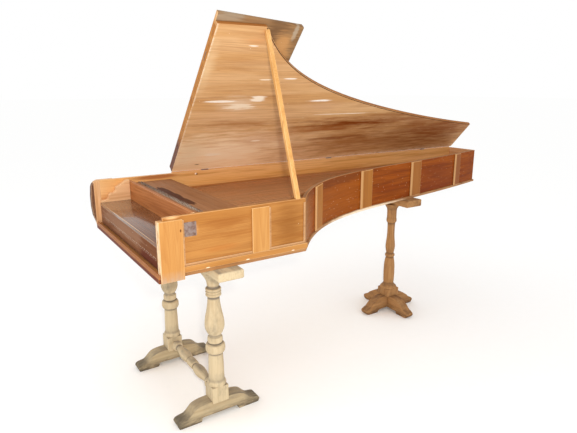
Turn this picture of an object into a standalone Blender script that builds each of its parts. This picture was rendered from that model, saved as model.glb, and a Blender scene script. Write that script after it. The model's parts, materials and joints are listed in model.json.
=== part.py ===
"""Fortepiano: a plain frame-and-panel case on a two-column trestle and a rear pedestal.

Metres, +Z up, +X towards the treble side, +Y towards the tail.
The origin lies on the floor, under the middle of the box round the whole object.
Shapes are written in case coordinates: X from the spine's outer face, Y from the
front of the side stiles, Z from the underside of the case. CASE_ORIGIN carries them
to the floor frame.
"""
import math

import bmesh
import bpy
from mathutils import Vector

# Driving dimensions of the case
CASE_WIDTH = 0.860
CASE_LENGTH = 2.427
CASE_HEIGHT = 0.2116
STAND_HEIGHT = 0.698
WALL = 0.014
STILE_PROUD = 0.014
STILE_HEIGHT = 0.202
STILE_DEPTH = 0.083
STILE_DROP = 0.009
FRONT_WALL_SETBACK = 0.020
BOTTOM_THICKNESS = 0.012
BOTTOM_LIP = 0.006
GAP = 0.0003

# The bentside's outer face is one smooth curve from the cheek's end to the tail.
# The lid's curved edge is another: it stands out more in front, and less at the tail.
CHEEK_FACE = CASE_WIDTH - STILE_PROUD
INNER_LOW_X = WALL + 0.0005
INNER_HIGH_X = CHEEK_FACE - WALL - 0.0005
CHEEK_LENGTH = 0.588
TAIL_WIDTH = 0.212
BENTSIDE_JOINT_Y = 1.245
BENTSIDE_CURVE = (
    Vector((CHEEK_FACE, CHEEK_LENGTH)),
    Vector((0.359, 0.984)),
    Vector((0.482, 1.397)),
    Vector((TAIL_WIDTH, CASE_LENGTH)),
)
LID_LENGTH = 2.443
LID_CURVE = (
    Vector((CASE_WIDTH, 0.590)),
    Vector((0.574, 0.810)),
    Vector((0.491, 1.108)),
    Vector((0.324, 1.695)),
    Vector((0.220, LID_LENGTH)),
)
CURVE_STEPS = 36

# The bass front stile stands in front of the rail; its front edge is cut to a curve,
# given here from the bottom up in Y and Z
BASS_STILE_PROUD = 0.021
BASS_STILE_EDGE = (
    (0.000, -STILE_DROP), (-0.002, 0.000), (-0.006, 0.016), (-0.017, 0.050),
    (-BASS_STILE_PROUD, 0.090), (-BASS_STILE_PROUD, 0.140), (-0.017, 0.183), (-0.012, 0.195),
    (-0.003, 0.2045), (0.008, 0.2100),
)

# Front rail, sill and the framing of the cheek
RAIL_PROUD = 0.008
RAIL_TOP = 0.020
SILL_TOP = 0.014
FRAMING_PROUD = 0.008
MOULDING_PROUD = 0.005
MOULDING_WIDTH = 0.008
MOULDING_TOP = 0.196
CHEEK_RAIL_TOP = 0.034
CHEEK_CORNER_RADIUS = 0.003
CHEEK_STILE_Y = (0.350, 0.422)
FRAMING_TOP_DROP = 0.009
LOCK_PLATE_Y = (0.0925, 0.136)
LOCK_PLATE_Z = (0.136, 0.186)
LOCK_PLATE_THICKNESS = 0.0025
BENTSIDE_STILE_SPANS = ((0.757, 0.835), (1.197, 1.293), (1.650, 1.747), (2.140, 2.212))

# Lid, hinged on the spine and propped open; its front leaf is folded back on it
LID_ANGLE = math.radians(48.0)
LID_THICKNESS = 0.018
LID_SPLIT = 0.371
LID_REST_GAP = 0.0005
HINGE_OFFSET = 0.005
FLAP_FRONT = -0.036
FLAP_WIDTH_AT_SPLIT = 0.893
FLAP_WIDTH_AT_FRONT = 0.860
FLAP_CORNER_RADIUS = 0.010
HINGE_RADIUS = 0.0042
HINGE_PLACES_Y = (0.55, 1.35, 2.15)
HINGE_LEAF = (0.050, 0.050)
HINGE_BARREL_LENGTH = 0.040

# Loose prop stick between the cheek's rim and the lid
STICK_WIDTH = 0.015
STICK_THICKNESS = 0.019
STICK_FOOT_Y = 0.555
STICK_TOP_Y = 0.594
STICK_REACH = 0.842

# Keywell, cover and keyboard
COVER_HEIGHT = 0.1135
COVER_BOARD = 0.012
COVER_FRONT_Y = 0.010
NAMEBOARD_Y = 0.149
NAMEBOARD_TOP = 0.1985
NAMEBOARD_BOTTOM = 0.0975
KEY_CHEEK_WIDTH = 0.0315
NATURAL_PITCH = 0.0235
KEY_GAP = 0.001
KEYBOARD_X = INNER_LOW_X + KEY_CHEEK_WIDTH + KEY_GAP
KEY_BOTTOM = 0.0635
KEY_TOP = 0.083
SHARP_TOP = 0.095
KEY_FRONT_Y = 0.027
KEY_HEAD_Y = 0.074
SHARP_BACK_Y = 0.145
KEY_TAIL_Y = 0.420
BALANCE_Y = 0.170
BALANCE_Z = 0.0632
NATURALS_IN_OCTAVE = 7
KEYS_IN_OCTAVE = 12
SHARP_STEPS = (1, 3, 6, 8, 10)

# Keys are made in four groups: first semitone of each group, and how many it holds
KEY_GROUPS = (("bass", 0, 12), ("tenor", 12, 12), ("middle", 24, 12), ("treble", 36, 18))
KEY_TIE_Y = (0.262, 0.276)
KEY_TIE_HEIGHT = 0.004
HOPPER_TOP = 0.0965

# Wrestplank, hammers and dampers
WREST_BACK_Y = 0.360
WREST_TOP = 0.185
WREST_BOTTOM = 0.147
STRING_Z = 0.138
HAMMER_RAIL_Y = (0.318, 0.338)
HAMMER_RAIL_Z = (0.094, 0.112)
HAMMER_PIVOT = (0.345, 0.100)
HAMMER_SHANK = 0.004
HAMMER_HEAD_WIDTH = 0.009
HAMMER_HEAD_Y = (0.392, 0.404)
HAMMER_HEAD_TOP = 0.120
DAMPER_Y = (0.4125, 0.4185)
DAMPER_TIE_Z = (0.100, 0.106)
DAMPER_JACK_WIDTH = 0.005
DAMPER_PAD_WIDTH = 0.010
HOPPER_Y = (0.371, 0.379)

# Soundboard
BELLY_RAIL_Y = (0.431, 0.449)
SOUNDBOARD_Z = (0.1245, 0.128)
BRIDGE_OFFSET = 0.115
BRIDGE_WIDTH = 0.012
BRIDGE_TOP = 0.1395
HITCHPIN_RAIL_WIDTH = 0.022
HITCHPIN_RAIL_TOP = 0.140

# Trestle under the keyboard end
TRESTLE_PLANK_Y = (0.188, 0.290)
TRESTLE_OVERHANG = 0.038
PLANK_THICKNESS = 0.035
TRESTLE_COLUMN_X = (0.168, 0.678)
TRESTLE_COLUMN_Y = 0.265
BLOCK_SIZE = 0.072
FOOT_THICKNESS = 0.060
BLOCK_BASE = 0.066
BLOCK_TOP = 0.136
STRETCHER_HEIGHT = 0.102

# Pedestal under the tail
PEDESTAL_X = 0.297
PEDESTAL_Y = 1.598
PEDESTAL_PLANK_X = (0.165, 0.435)
PEDESTAL_PLANK_THICKNESS = 0.040
PEDESTAL_PLANK_Y = (1.578, 1.693)
PEDESTAL_FOOT_THICKNESS = 0.052
PEDESTAL_BLOCK_SIZE = 0.088
PEDESTAL_BLOCK_BASE = 0.092
PEDESTAL_BLOCK_TOP = 0.137
PEDESTAL_HALVING_HEIGHT = 0.054

TURNED_STEPS = 20

CASE_ORIGIN = Vector((-CASE_WIDTH / 2, (BASS_STILE_PROUD - LID_LENGTH) / 2, STAND_HEIGHT))
FLOOR = -STAND_HEIGHT
LID_AXIS = Vector((-HINGE_OFFSET, 0.0, CASE_HEIGHT))
LID_UNDER = CASE_HEIGHT + LID_REST_GAP
LID_TOP = LID_UNDER + LID_THICKNESS

# Material name: colour, roughness, metallic
MATERIALS = {
    "case_wood": ((0.50, 0.24, 0.075), 0.45, 0.0),
    "bentside_wood": ((0.33, 0.12, 0.035), 0.42, 0.0),
    "inside_wood": ((0.30, 0.14, 0.055), 0.55, 0.0),
    "soundboard_wood": ((0.42, 0.24, 0.11), 0.55, 0.0),
    "dark_moulding": ((0.13, 0.035, 0.015), 0.45, 0.0),
    "cover_wood": ((0.24, 0.13, 0.08), 0.25, 0.0),
    "lid_wood": ((0.48, 0.28, 0.12), 0.50, 0.0),
    "flap_wood": ((0.24, 0.16, 0.10), 0.65, 0.0),
    "stand_wood": ((0.60, 0.44, 0.25), 0.65, 0.0),
    "pedestal_wood": ((0.42, 0.24, 0.11), 0.60, 0.0),
    "stick_wood": ((0.66, 0.47, 0.22), 0.50, 0.0),
    "key_wood": ((0.62, 0.47, 0.28), 0.50, 0.0),
    "iron": ((0.14, 0.12, 0.11), 0.60, 1.0),
}


def clear_scene():
    """Remove every object, so that the file holds only the model."""
    for thing in list(bpy.data.objects):
        bpy.data.objects.remove(thing, do_unlink=True)


def make_materials():
    """Create one Principled material for each kind of surface."""
    made = {}
    for name, (colour, roughness, metallic) in MATERIALS.items():
        material = bpy.data.materials.new(name)
        material.use_nodes = True
        shader = material.node_tree.nodes["Principled BSDF"]
        shader.inputs["Base Color"].default_value = (*colour, 1.0)
        shader.inputs["Roughness"].default_value = roughness
        shader.inputs["Metallic"].default_value = metallic
        made[name] = material
    return made


def add_object(name, bm, origin=(0.0, 0.0, 0.0)):
    """Turn a bmesh in case coordinates into an object whose origin is the given point."""
    origin = Vector(origin)
    bmesh.ops.recalc_face_normals(bm, faces=bm.faces[:])
    bmesh.ops.translate(bm, vec=-origin, verts=bm.verts[:])
    mesh = bpy.data.meshes.new(name)
    bm.to_mesh(mesh)
    bm.free()
    thing = bpy.data.objects.new(name, mesh)
    thing.location = origin + CASE_ORIGIN
    bpy.context.scene.collection.objects.link(thing)
    return thing


def paint(thing, material):
    """Give an object its one material."""
    thing.data.materials.append(WOODS[material])
    return thing


def solid(name, bm, material, origin=(0.0, 0.0, 0.0)):
    """Make a sub-part from a bmesh and give it its material."""
    return paint(add_object(name, bm, origin), material)


def cutter(name, bm, origin=(0.0, 0.0, 0.0)):
    """Make a hidden helper object for a Boolean."""
    thing = add_object(name, bm, origin)
    thing.hide_render = True
    thing.display_type = "WIRE"
    return thing


def add_boolean(thing, helper, operation):
    """Add an exact Boolean; the helper may hold boxes that run through each other."""
    modifier = thing.modifiers.new(helper.name, "BOOLEAN")
    modifier.operation = operation
    modifier.solver = "EXACT"
    modifier.use_self = True
    modifier.object = helper


def prism(outline, low, high, axis="z"):
    """Extrude a closed 2-D outline between two heights along X, Y or Z."""
    place = {
        "x": lambda a, b, h: (h, a, b),
        "y": lambda a, b, h: (a, h, b),
        "z": lambda a, b, h: (a, b, h),
    }[axis]
    bm = bmesh.new()
    base = bm.faces.new([bm.verts.new(place(a, b, low)) for a, b in outline])
    grown = bmesh.ops.extrude_face_region(bm, geom=[base])
    moved = [item for item in grown["geom"] if isinstance(item, bmesh.types.BMVert)]
    shift = Vector(place(0.0, 0.0, high)) - Vector(place(0.0, 0.0, low))
    bmesh.ops.translate(bm, vec=shift, verts=moved)
    return bm


def box(low, high):
    """Return a box between two corners."""
    outline = [(low[0], low[1]), (high[0], low[1]), (high[0], high[1]), (low[0], high[1])]
    return prism(outline, low[2], high[2])


def boxes(corners):
    """Return several boxes in one bmesh."""
    bm = bmesh.new()
    for low, high in corners:
        part = box(low, high)
        mesh = bpy.data.meshes.new("part")
        bmesh.ops.recalc_face_normals(part, faces=part.faces[:])
        part.to_mesh(mesh)
        part.free()
        bm.from_mesh(mesh)
        bpy.data.meshes.remove(mesh)
    return bm


def round_edges(thing, width, segments=2):
    """Break an object's sharp edges with a small bevel."""
    modifier = thing.modifiers.new("edges", "BEVEL")
    modifier.width = width
    modifier.segments = segments
    modifier.limit_method = "ANGLE"
    modifier.angle_limit = math.radians(40.0)
    return thing


def shade_round(thing, angle=40.0):
    """Shade a round piece smooth, with its sharp edges kept."""
    thing.data.shade_smooth()
    thing.data.set_sharp_from_angle(angle=math.radians(angle))
    return thing


def arc(centre, radius, start, end, steps):
    """Return points on an arc; angles in degrees, anticlockwise from the first axis."""
    points = []
    for i in range(steps + 1):
        angle = math.radians(start + (end - start) * i / steps)
        points.append((centre[0] + radius * math.cos(angle), centre[1] + radius * math.sin(angle)))
    return points


def curve_at(curve, t, inset=0.0):
    """Return a point of a smooth curve, moved into the case by an inset."""
    points = list(curve)
    while len(points) > 2:
        points = [first.lerp(second, t) for first, second in zip(points, points[1:])]
    along = (points[1] - points[0]).normalized()
    inward = Vector((-along.y, along.x))
    return points[0].lerp(points[1], t) + inset * inward


def curve_run(curve, inset, start=0.0, end=1.0, steps=CURVE_STEPS):
    """Return points along a curve, denser where it turns sharply near the cheek."""
    points = []
    for i in range(steps + 1):
        share = (i / steps) ** 1.25
        points.append(tuple(curve_at(curve, start + (end - start) * share, inset)))
    return points


def bentside_run(inset, start=0.0, end=1.0, steps=CURVE_STEPS):
    """Return points along the bentside, moved into the case by an inset."""
    return curve_run(BENTSIDE_CURVE, inset, start, end, steps)


def clip_low_y(points, low_y):
    """Drop the points in front of a line across the case and end exactly on it."""
    kept = [point for point in points if point[1] > low_y + 0.002]
    first = points.index(kept[0])
    before, after = points[max(first - 1, 0)], kept[0]
    if after[1] > before[1]:
        share = (low_y - before[1]) / (after[1] - before[1])
        kept.insert(0, (before[0] + share * (after[0] - before[0]), low_y))
    return kept


def clip_high_y(points, high_y):
    """Drop the points behind a line across the case and end exactly on it."""
    kept = [point for point in points if point[1] < high_y - 0.002]
    before = kept[-1]
    later = points[len(kept):]
    after = later[0] if later else (before[0], high_y)
    share = (high_y - before[1]) / max(after[1] - before[1], 0.001)
    share = min(max(share, 0.0), 1.0)
    return kept + [(before[0] + share * (after[0] - before[0]), high_y)]


def bentside_share(y):
    """Return the share of the bentside's curve that lies at a given Y."""
    low, high = 0.0, 1.0
    for _ in range(40):
        middle = (low + high) / 2
        if curve_at(BENTSIDE_CURVE, middle)[1] < y:
            low = middle
        else:
            high = middle
    return low


def make_bottom_board():
    """The bottom board shows as a thin lip all round, behind the front stiles."""
    curve = clip_high_y(bentside_run(-BOTTOM_LIP, 0.03), CASE_LENGTH)
    tail_x = curve[-1][0]
    outline = [(-BOTTOM_LIP, STILE_DEPTH + 0.0005), (-BOTTOM_LIP, CASE_LENGTH + BOTTOM_LIP)]
    outline += [(tail_x, CASE_LENGTH + BOTTOM_LIP)]
    outline += list(reversed(curve))
    outline += [(CHEEK_FACE + BOTTOM_LIP, CHEEK_LENGTH)]
    outline += [(CHEEK_FACE + BOTTOM_LIP, STILE_DEPTH + 0.0005)]
    front_y = FRONT_WALL_SETBACK + GAP
    outline += [(CHEEK_FACE - GAP, STILE_DEPTH + 0.0005), (CHEEK_FACE - GAP, front_y)]
    outline += [(GAP, front_y), (GAP, STILE_DEPTH + 0.0005)]
    shade_round(solid("bottom_board", prism(outline, 0.0, BOTTOM_THICKNESS), "inside_wood"))


def make_spine():
    """Straight wall on the bass side, behind its front stile."""
    low = (0.0, FRONT_WALL_SETBACK, BOTTOM_THICKNESS + GAP)
    solid("spine", box(low, (WALL, CASE_LENGTH - WALL - GAP, CASE_HEIGHT)), "case_wood")


def make_cheek():
    """Short straight wall on the treble side, its front top corner a little rounded."""
    low, radius = BOTTOM_THICKNESS + GAP, CHEEK_CORNER_RADIUS
    front_y, back_y = FRONT_WALL_SETBACK, CHEEK_LENGTH - GAP
    corner = arc((front_y + radius, CASE_HEIGHT - radius), radius, 180.0, 90.0, 3)
    outline = [(front_y, low)] + corner + [(back_y, CASE_HEIGHT), (back_y, low)]
    solid("cheek", prism(outline, CHEEK_FACE - WALL, CHEEK_FACE, "x"), "case_wood")


def bentside_board(name, outer, inner):
    """Make one board of the bentside between its outer and its inner run."""
    outline = outer + list(reversed(inner))
    low = BOTTOM_THICKNESS + GAP
    shade_round(solid(name, prism(outline, low, CASE_HEIGHT), "bentside_wood"))


def make_bentside():
    """Two boards, butted behind the second stile, from the cheek's end to the tail board."""
    outer, inner = bentside_run(0.0), bentside_run(WALL)
    front_outer = clip_high_y(outer, BENTSIDE_JOINT_Y)
    front_inner = clip_low_y(clip_high_y(inner, BENTSIDE_JOINT_Y), CHEEK_LENGTH + GAP)
    front_inner.insert(0, (CHEEK_FACE - WALL, CHEEK_LENGTH + GAP))
    front_outer[0] = (CHEEK_FACE, CHEEK_LENGTH + GAP)
    bentside_board("bentside_front", front_outer, front_inner)
    start_y, back_y = BENTSIDE_JOINT_Y + GAP, CASE_LENGTH - WALL - GAP
    rear_outer = clip_low_y(clip_high_y(outer, back_y), start_y)
    rear_inner = clip_low_y(clip_high_y(inner, back_y), start_y)
    bentside_board("bentside_rear", rear_outer, rear_inner)


def make_tail_board():
    """Short board that closes the case at its tail."""
    low = (0.0, CASE_LENGTH - WALL, BOTTOM_THICKNESS + GAP)
    high = (TAIL_WIDTH, CASE_LENGTH, CASE_HEIGHT)
    solid("tail_board", box(low, high), "bentside_wood")


def make_front_rail():
    """Dark moulded strip along the case's lower front edge."""
    outline = [(-GAP, -STILE_DROP), (-RAIL_PROUD, -STILE_DROP), (-RAIL_PROUD, 0.012)]
    outline += [(-0.005, 0.015), (-0.005, RAIL_TOP), (-GAP, RAIL_TOP)]
    solid("front_rail", prism(outline, INNER_LOW_X, CASE_WIDTH - 0.004, "x"), "dark_moulding")


def make_front_sill():
    """The ledge in front of the cover, between the two front stiles."""
    low = (INNER_LOW_X, 0.0, -STILE_DROP + 0.001)
    high = (INNER_HIGH_X, FRONT_WALL_SETBACK, SILL_TOP)
    solid("front_sill", box(low, high), "inside_wood")


def make_bass_stile():
    """The bass front stile caps the spine's front end and wraps its outer face."""
    back_y = FRONT_WALL_SETBACK - GAP
    outline = list(BASS_STILE_EDGE) + [(back_y, CASE_HEIGHT), (back_y, -STILE_DROP)]
    stile = solid("front_stile_bass", prism(outline, -STILE_PROUD, WALL, "x"), "case_wood")
    wing = box((-STILE_PROUD, 0.010, -STILE_DROP), (-GAP, STILE_DEPTH, CASE_HEIGHT))
    add_boolean(stile, cutter("bass_stile_wing", wing), "UNION")


def make_treble_stile():
    """The treble front stile wraps the cheek's front end."""
    front_wall = FRONT_WALL_SETBACK - GAP
    outline = [(CHEEK_FACE - WALL, 0.0), (CASE_WIDTH, 0.0), (CASE_WIDTH, STILE_DEPTH)]
    outline += [(CHEEK_FACE + GAP, STILE_DEPTH), (CHEEK_FACE + GAP, front_wall)]
    outline += [(CHEEK_FACE - WALL, front_wall)]
    solid("front_stile_treble", prism(outline, -STILE_DROP, STILE_HEIGHT), "case_wood")


def make_cheek_stile():
    """Middle stile of the cheek, standing on its bottom rail."""
    low = (CHEEK_FACE + GAP, CHEEK_STILE_Y[0], CHEEK_RAIL_TOP + GAP)
    high = (CHEEK_FACE + FRAMING_PROUD, CHEEK_STILE_Y[1], CASE_HEIGHT - FRAMING_TOP_DROP)
    solid("cheek_stile", box(low, high), "case_wood")


def make_cheek_bottom_rail():
    """Rail under the cheek's panels, from the front stile to the bentside."""
    low = (CHEEK_FACE + GAP, STILE_DEPTH + GAP, BOTTOM_THICKNESS + GAP)
    high = (CHEEK_FACE + FRAMING_PROUD, CHEEK_LENGTH + 0.006, CHEEK_RAIL_TOP)
    solid("cheek_bottom_rail", box(low, high), "case_wood")


def make_cheek_mouldings():
    """Thin strips round the two cheek panels: an L at the front, a frame at the rear."""
    low_x, high_x = CHEEK_FACE + GAP, CHEEK_FACE + MOULDING_PROUD
    strip = MOULDING_WIDTH
    front, rear = STILE_DEPTH + GAP, CHEEK_STILE_Y[0] - GAP
    low, high = CHEEK_RAIL_TOP + GAP, MOULDING_TOP
    outline = [(front, low), (rear, low), (rear, low + strip), (front + strip, low + strip)]
    outline += [(front + strip, high), (front, high)]
    solid("cheek_moulding_front", prism(outline, low_x, high_x, "x"), "case_wood")
    front, rear = CHEEK_STILE_Y[1] + GAP, CHEEK_LENGTH - 0.002
    outline = [(front, low), (rear, low), (rear, high), (rear - strip, high)]
    outline += [(rear - strip, low + strip), (front + strip, low + strip)]
    outline += [(front + strip, high), (front, high)]
    solid("cheek_moulding_rear", prism(outline, low_x, high_x, "x"), "case_wood")


def make_lock_plate():
    """Small worn iron plate let in behind the treble front stile."""
    low = (CHEEK_FACE + GAP, LOCK_PLATE_Y[0], LOCK_PLATE_Z[0])
    high = (CHEEK_FACE + LOCK_PLATE_THICKNESS, LOCK_PLATE_Y[1], LOCK_PLATE_Z[1])
    solid("lock_plate", box(low, high), "iron")


def make_bentside_stiles():
    """Four applied stiles that follow the bentside's curve."""
    for number, (front_y, back_y) in enumerate(BENTSIDE_STILE_SPANS, start=1):
        start, end = bentside_share(front_y), bentside_share(back_y)
        outer = bentside_run(-FRAMING_PROUD, start, end, 4)
        inner = bentside_run(-0.0009, start, end, 4)
        outline = outer + list(reversed(inner))
        bm = prism(outline, BOTTOM_THICKNESS + GAP, CASE_HEIGHT - 0.002)
        solid(f"bentside_stile_{number}", bm, "bentside_wood")


def key_cheek_outline():
    """Return the scroll-cut outline of a key cheek, in Y and Z."""
    back_y = NAMEBOARD_Y - GAP
    low = BOTTOM_THICKNESS + GAP
    front_y = FRONT_WALL_SETBACK + GAP
    outline = [(front_y, low), (front_y, 0.119), (0.036, 0.121)]
    outline += arc((0.036, 0.137), 0.016, 300.0, 375.0, 4)
    outline += [(0.060, 0.150)]
    outline += arc((0.066, 0.170), 0.020, 290.0, 375.0, 5)
    outline += [(0.098, 0.182), (0.118, 0.193), (0.132, 0.203), (back_y, 0.206), (back_y, low)]
    return outline


def make_key_cheeks():
    """Scroll-cut cheeks at both ends of the keyboard."""
    outline = key_cheek_outline()
    bass = prism(outline, INNER_LOW_X, INNER_LOW_X + KEY_CHEEK_WIDTH, "x")
    solid("key_cheek_bass", bass, "case_wood")
    treble = prism(outline, INNER_HIGH_X - KEY_CHEEK_WIDTH, INNER_HIGH_X, "x")
    solid("key_cheek_treble", treble, "case_wood")


def make_nameboard():
    """The nameboard stops above the key levers, which run under it."""
    low = (INNER_LOW_X, NAMEBOARD_Y, NAMEBOARD_BOTTOM)
    high = (INNER_HIGH_X, NAMEBOARD_Y + WALL, NAMEBOARD_TOP)
    solid("nameboard", box(low, high), "case_wood")


def make_wrestplank():
    """Thick plank across the case; the strings lie under it."""
    low = (INNER_LOW_X, NAMEBOARD_Y + WALL + GAP, WREST_BOTTOM)
    high = (INNER_HIGH_X, WREST_BACK_Y, WREST_TOP)
    solid("wrestplank", box(low, high), "inside_wood")


def make_nut():
    """Strip under the wrestplank's rear edge that the strings bear against."""
    low = (INNER_LOW_X + 0.006, WREST_BACK_Y - 0.022, STRING_Z + 0.001)
    high = (INNER_HIGH_X - 0.006, WREST_BACK_Y - 0.012, WREST_BOTTOM - GAP)
    solid("nut", box(low, high), "dark_moulding")


def make_belly_rail():
    """Cross rail under the soundboard's front edge."""
    low = (INNER_LOW_X, BELLY_RAIL_Y[0], BOTTOM_THICKNESS + GAP)
    high = (INNER_HIGH_X, BELLY_RAIL_Y[1], SOUNDBOARD_Z[0] - GAP)
    solid("belly_rail", box(low, high), "inside_wood")


def make_soundboard():
    """Thin board that fills the case behind the belly rail."""
    back_y = CASE_LENGTH - WALL - 0.0008
    curve = clip_high_y(bentside_run(WALL + 0.0006), back_y)
    curve = clip_low_y(curve, CHEEK_LENGTH - 0.001)
    front_y = BELLY_RAIL_Y[0]
    outline = [(INNER_LOW_X, front_y), (INNER_HIGH_X, front_y), (INNER_HIGH_X, CHEEK_LENGTH - 0.001)]
    outline += curve + [(INNER_LOW_X, back_y)]
    solid("soundboard", prism(outline, *SOUNDBOARD_Z), "soundboard_wood")


def curved_strip(inset, width, start, end, low, high):
    """Return a strip that follows the bentside inside the case."""
    outer = bentside_run(inset, start, end, 16)
    inner = bentside_run(inset + width, start, end, 16)
    return prism(outer + list(reversed(inner)), low, high)


def make_bridge():
    """Curved bridge on the soundboard."""
    low = SOUNDBOARD_Z[1] + GAP
    bm = curved_strip(BRIDGE_OFFSET, BRIDGE_WIDTH, 0.04, 0.93, low, BRIDGE_TOP)
    shade_round(solid("bridge", bm, "dark_moulding"))


def make_hitchpin_rail():
    """Curved rail along the bentside that holds the strings' far ends."""
    low = SOUNDBOARD_Z[1] + GAP
    bm = curved_strip(WALL + 0.001, HITCHPIN_RAIL_WIDTH, 0.05, 0.975, low, HITCHPIN_RAIL_TOP)
    shade_round(solid("hitchpin_rail", bm, "inside_wood"))


def make_key_frame():
    """Flat keyframe with a raised balance rail and a padded rail for the key tails."""
    low = BOTTOM_THICKNESS + GAP
    base = 0.024
    outline = [(0.026, low), (0.410, low), (0.410, 0.0630), (0.388, 0.0630), (0.388, base)]
    outline += [(BALANCE_Y + 0.010, base), (BALANCE_Y + 0.010, 0.0560)]
    outline += [(BALANCE_Y, 0.0628), (BALANCE_Y - 0.010, 0.0560), (BALANCE_Y - 0.010, base)]
    outline += [(0.026, base)]
    low_x = INNER_LOW_X + KEY_CHEEK_WIDTH + GAP
    high_x = INNER_HIGH_X - KEY_CHEEK_WIDTH - GAP
    solid("key_frame", prism(outline, low_x, high_x, "x"), "key_wood")


def lever_span(semitone):
    """Return the X range of a key lever, counted from the lowest key."""
    octave, step = divmod(semitone, KEYS_IN_OCTAVE)
    lever = NATURALS_IN_OCTAVE * NATURAL_PITCH / KEYS_IN_OCTAVE
    start = KEYBOARD_X + octave * NATURALS_IN_OCTAVE * NATURAL_PITCH + step * lever
    return start + KEY_GAP / 2, start + lever - KEY_GAP / 2


def natural_index(semitone):
    """Return how many naturals lie below a natural key."""
    octave, step = divmod(semitone, KEYS_IN_OCTAVE)
    below = step - sum(1 for sharp in SHARP_STEPS if sharp < step)
    return octave * NATURALS_IN_OCTAVE + below


def key_boxes(semitone):
    """Return the boxes of one key: its lever, and its head or its raised sharp."""
    low_x, high_x = lever_span(semitone)
    lever = ((low_x, KEY_HEAD_Y, KEY_BOTTOM), (high_x, KEY_TAIL_Y, KEY_TOP))
    if semitone % KEYS_IN_OCTAVE in SHARP_STEPS:
        top = ((low_x + 0.001, KEY_HEAD_Y, KEY_TOP - 0.002), (high_x - 0.001, SHARP_BACK_Y, SHARP_TOP))
        return [lever, top]
    start = KEYBOARD_X + natural_index(semitone) * NATURAL_PITCH
    head_low = (start + KEY_GAP / 2, KEY_FRONT_Y, KEY_BOTTOM)
    head_high = (start + NATURAL_PITCH - KEY_GAP / 2, KEY_HEAD_Y + 0.002, KEY_TOP)
    natural_lever = ((low_x, KEY_HEAD_Y - 0.004, KEY_BOTTOM), (high_x, KEY_TAIL_Y, KEY_TOP))
    return [natural_lever, (head_low, head_high)]


def group_middle(first, count):
    """Return the X in the middle of a group of keys."""
    return (lever_span(first)[0] + lever_span(first + count - 1)[1]) / 2


def make_keys():
    """Each group of keys is tied by a strip across the levers and a hopper strip."""
    for name, first, count in KEY_GROUPS:
        semitones = range(first, first + count)
        low_x, high_x = lever_span(first)[0], lever_span(first + count - 1)[1]
        pivot = (group_middle(first, count), BALANCE_Y, BALANCE_Z)
        tie_low = (low_x, KEY_TIE_Y[0], KEY_TOP - KEY_TIE_HEIGHT)
        strip = box(tie_low, (high_x, KEY_TIE_Y[1], KEY_TOP + KEY_TIE_HEIGHT))
        keys = solid(f"keys_{name}", strip, "key_wood", pivot)
        hopper_low = (low_x, HOPPER_Y[0], KEY_TOP - KEY_TIE_HEIGHT)
        parts = [(hopper_low, (high_x, HOPPER_Y[1], HOPPER_TOP))]
        for semitone in semitones:
            parts += key_boxes(semitone)
        add_boolean(keys, cutter(f"key_shapes_{name}", boxes(parts), pivot), "UNION")


def make_hammers():
    """Each group of hammers turns on one pivot strip behind the hammer rail."""
    pivot_y, pivot_z = HAMMER_PIVOT
    for name, first, count in KEY_GROUPS:
        low_x, high_x = lever_span(first)[0], lever_span(first + count - 1)[1]
        pivot = (group_middle(first, count), pivot_y, pivot_z)
        butt = box((low_x, pivot_y - 0.004, pivot_z - 0.003), (high_x, pivot_y + 0.004, pivot_z + 0.003))
        hammers = solid(f"hammers_{name}", butt, "key_wood", pivot)
        parts = []
        for semitone in range(first, first + count):
            middle = sum(lever_span(semitone)) / 2
            half, head_half = HAMMER_SHANK / 2, HAMMER_HEAD_WIDTH / 2
            shank_low = (middle - half, pivot_y, pivot_z - half)
            shank_high = (middle + half, HAMMER_HEAD_Y[1] - half, pivot_z + half)
            head_low = (middle - head_half, HAMMER_HEAD_Y[0], pivot_z - 0.0025)
            head_high = (middle + head_half, HAMMER_HEAD_Y[1], HAMMER_HEAD_TOP)
            parts += [(shank_low, shank_high), (head_low, head_high)]
        add_boolean(hammers, cutter(f"hammer_shapes_{name}", boxes(parts), pivot), "UNION")


def make_hammer_rail():
    """Fixed rail that carries the hammers' pivots."""
    low = (INNER_LOW_X, HAMMER_RAIL_Y[0], HAMMER_RAIL_Z[0])
    high = (INNER_HIGH_X, HAMMER_RAIL_Y[1], HAMMER_RAIL_Z[1])
    solid("hammer_rail", box(low, high), "inside_wood")


def make_dampers():
    """Damper jacks stand on the key tails; a strip ties each group."""
    low_y, high_y = DAMPER_Y
    for name, first, count in KEY_GROUPS:
        low_x, high_x = lever_span(first)[0], lever_span(first + count - 1)[1]
        strip = box((low_x, low_y, DAMPER_TIE_Z[0]), (high_x, high_y, DAMPER_TIE_Z[1]))
        dampers = solid(f"dampers_{name}", strip, "key_wood")
        parts = []
        for semitone in range(first, first + count):
            middle = sum(lever_span(semitone)) / 2
            half, pad_half = DAMPER_JACK_WIDTH / 2, DAMPER_PAD_WIDTH / 2
            jack_low = (middle - half, low_y, KEY_TOP + 0.0007)
            jack_high = (middle + half, high_y, STRING_Z + 0.006)
            pad_low = (middle - pad_half, low_y - 0.003, STRING_Z + 0.0025)
            pad_high = (middle + pad_half, high_y + 0.003, STRING_Z + 0.009)
            parts += [(jack_low, jack_high), (pad_low, pad_high)]
        add_boolean(dampers, cutter(f"damper_shapes_{name}", boxes(parts)), "UNION")


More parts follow.
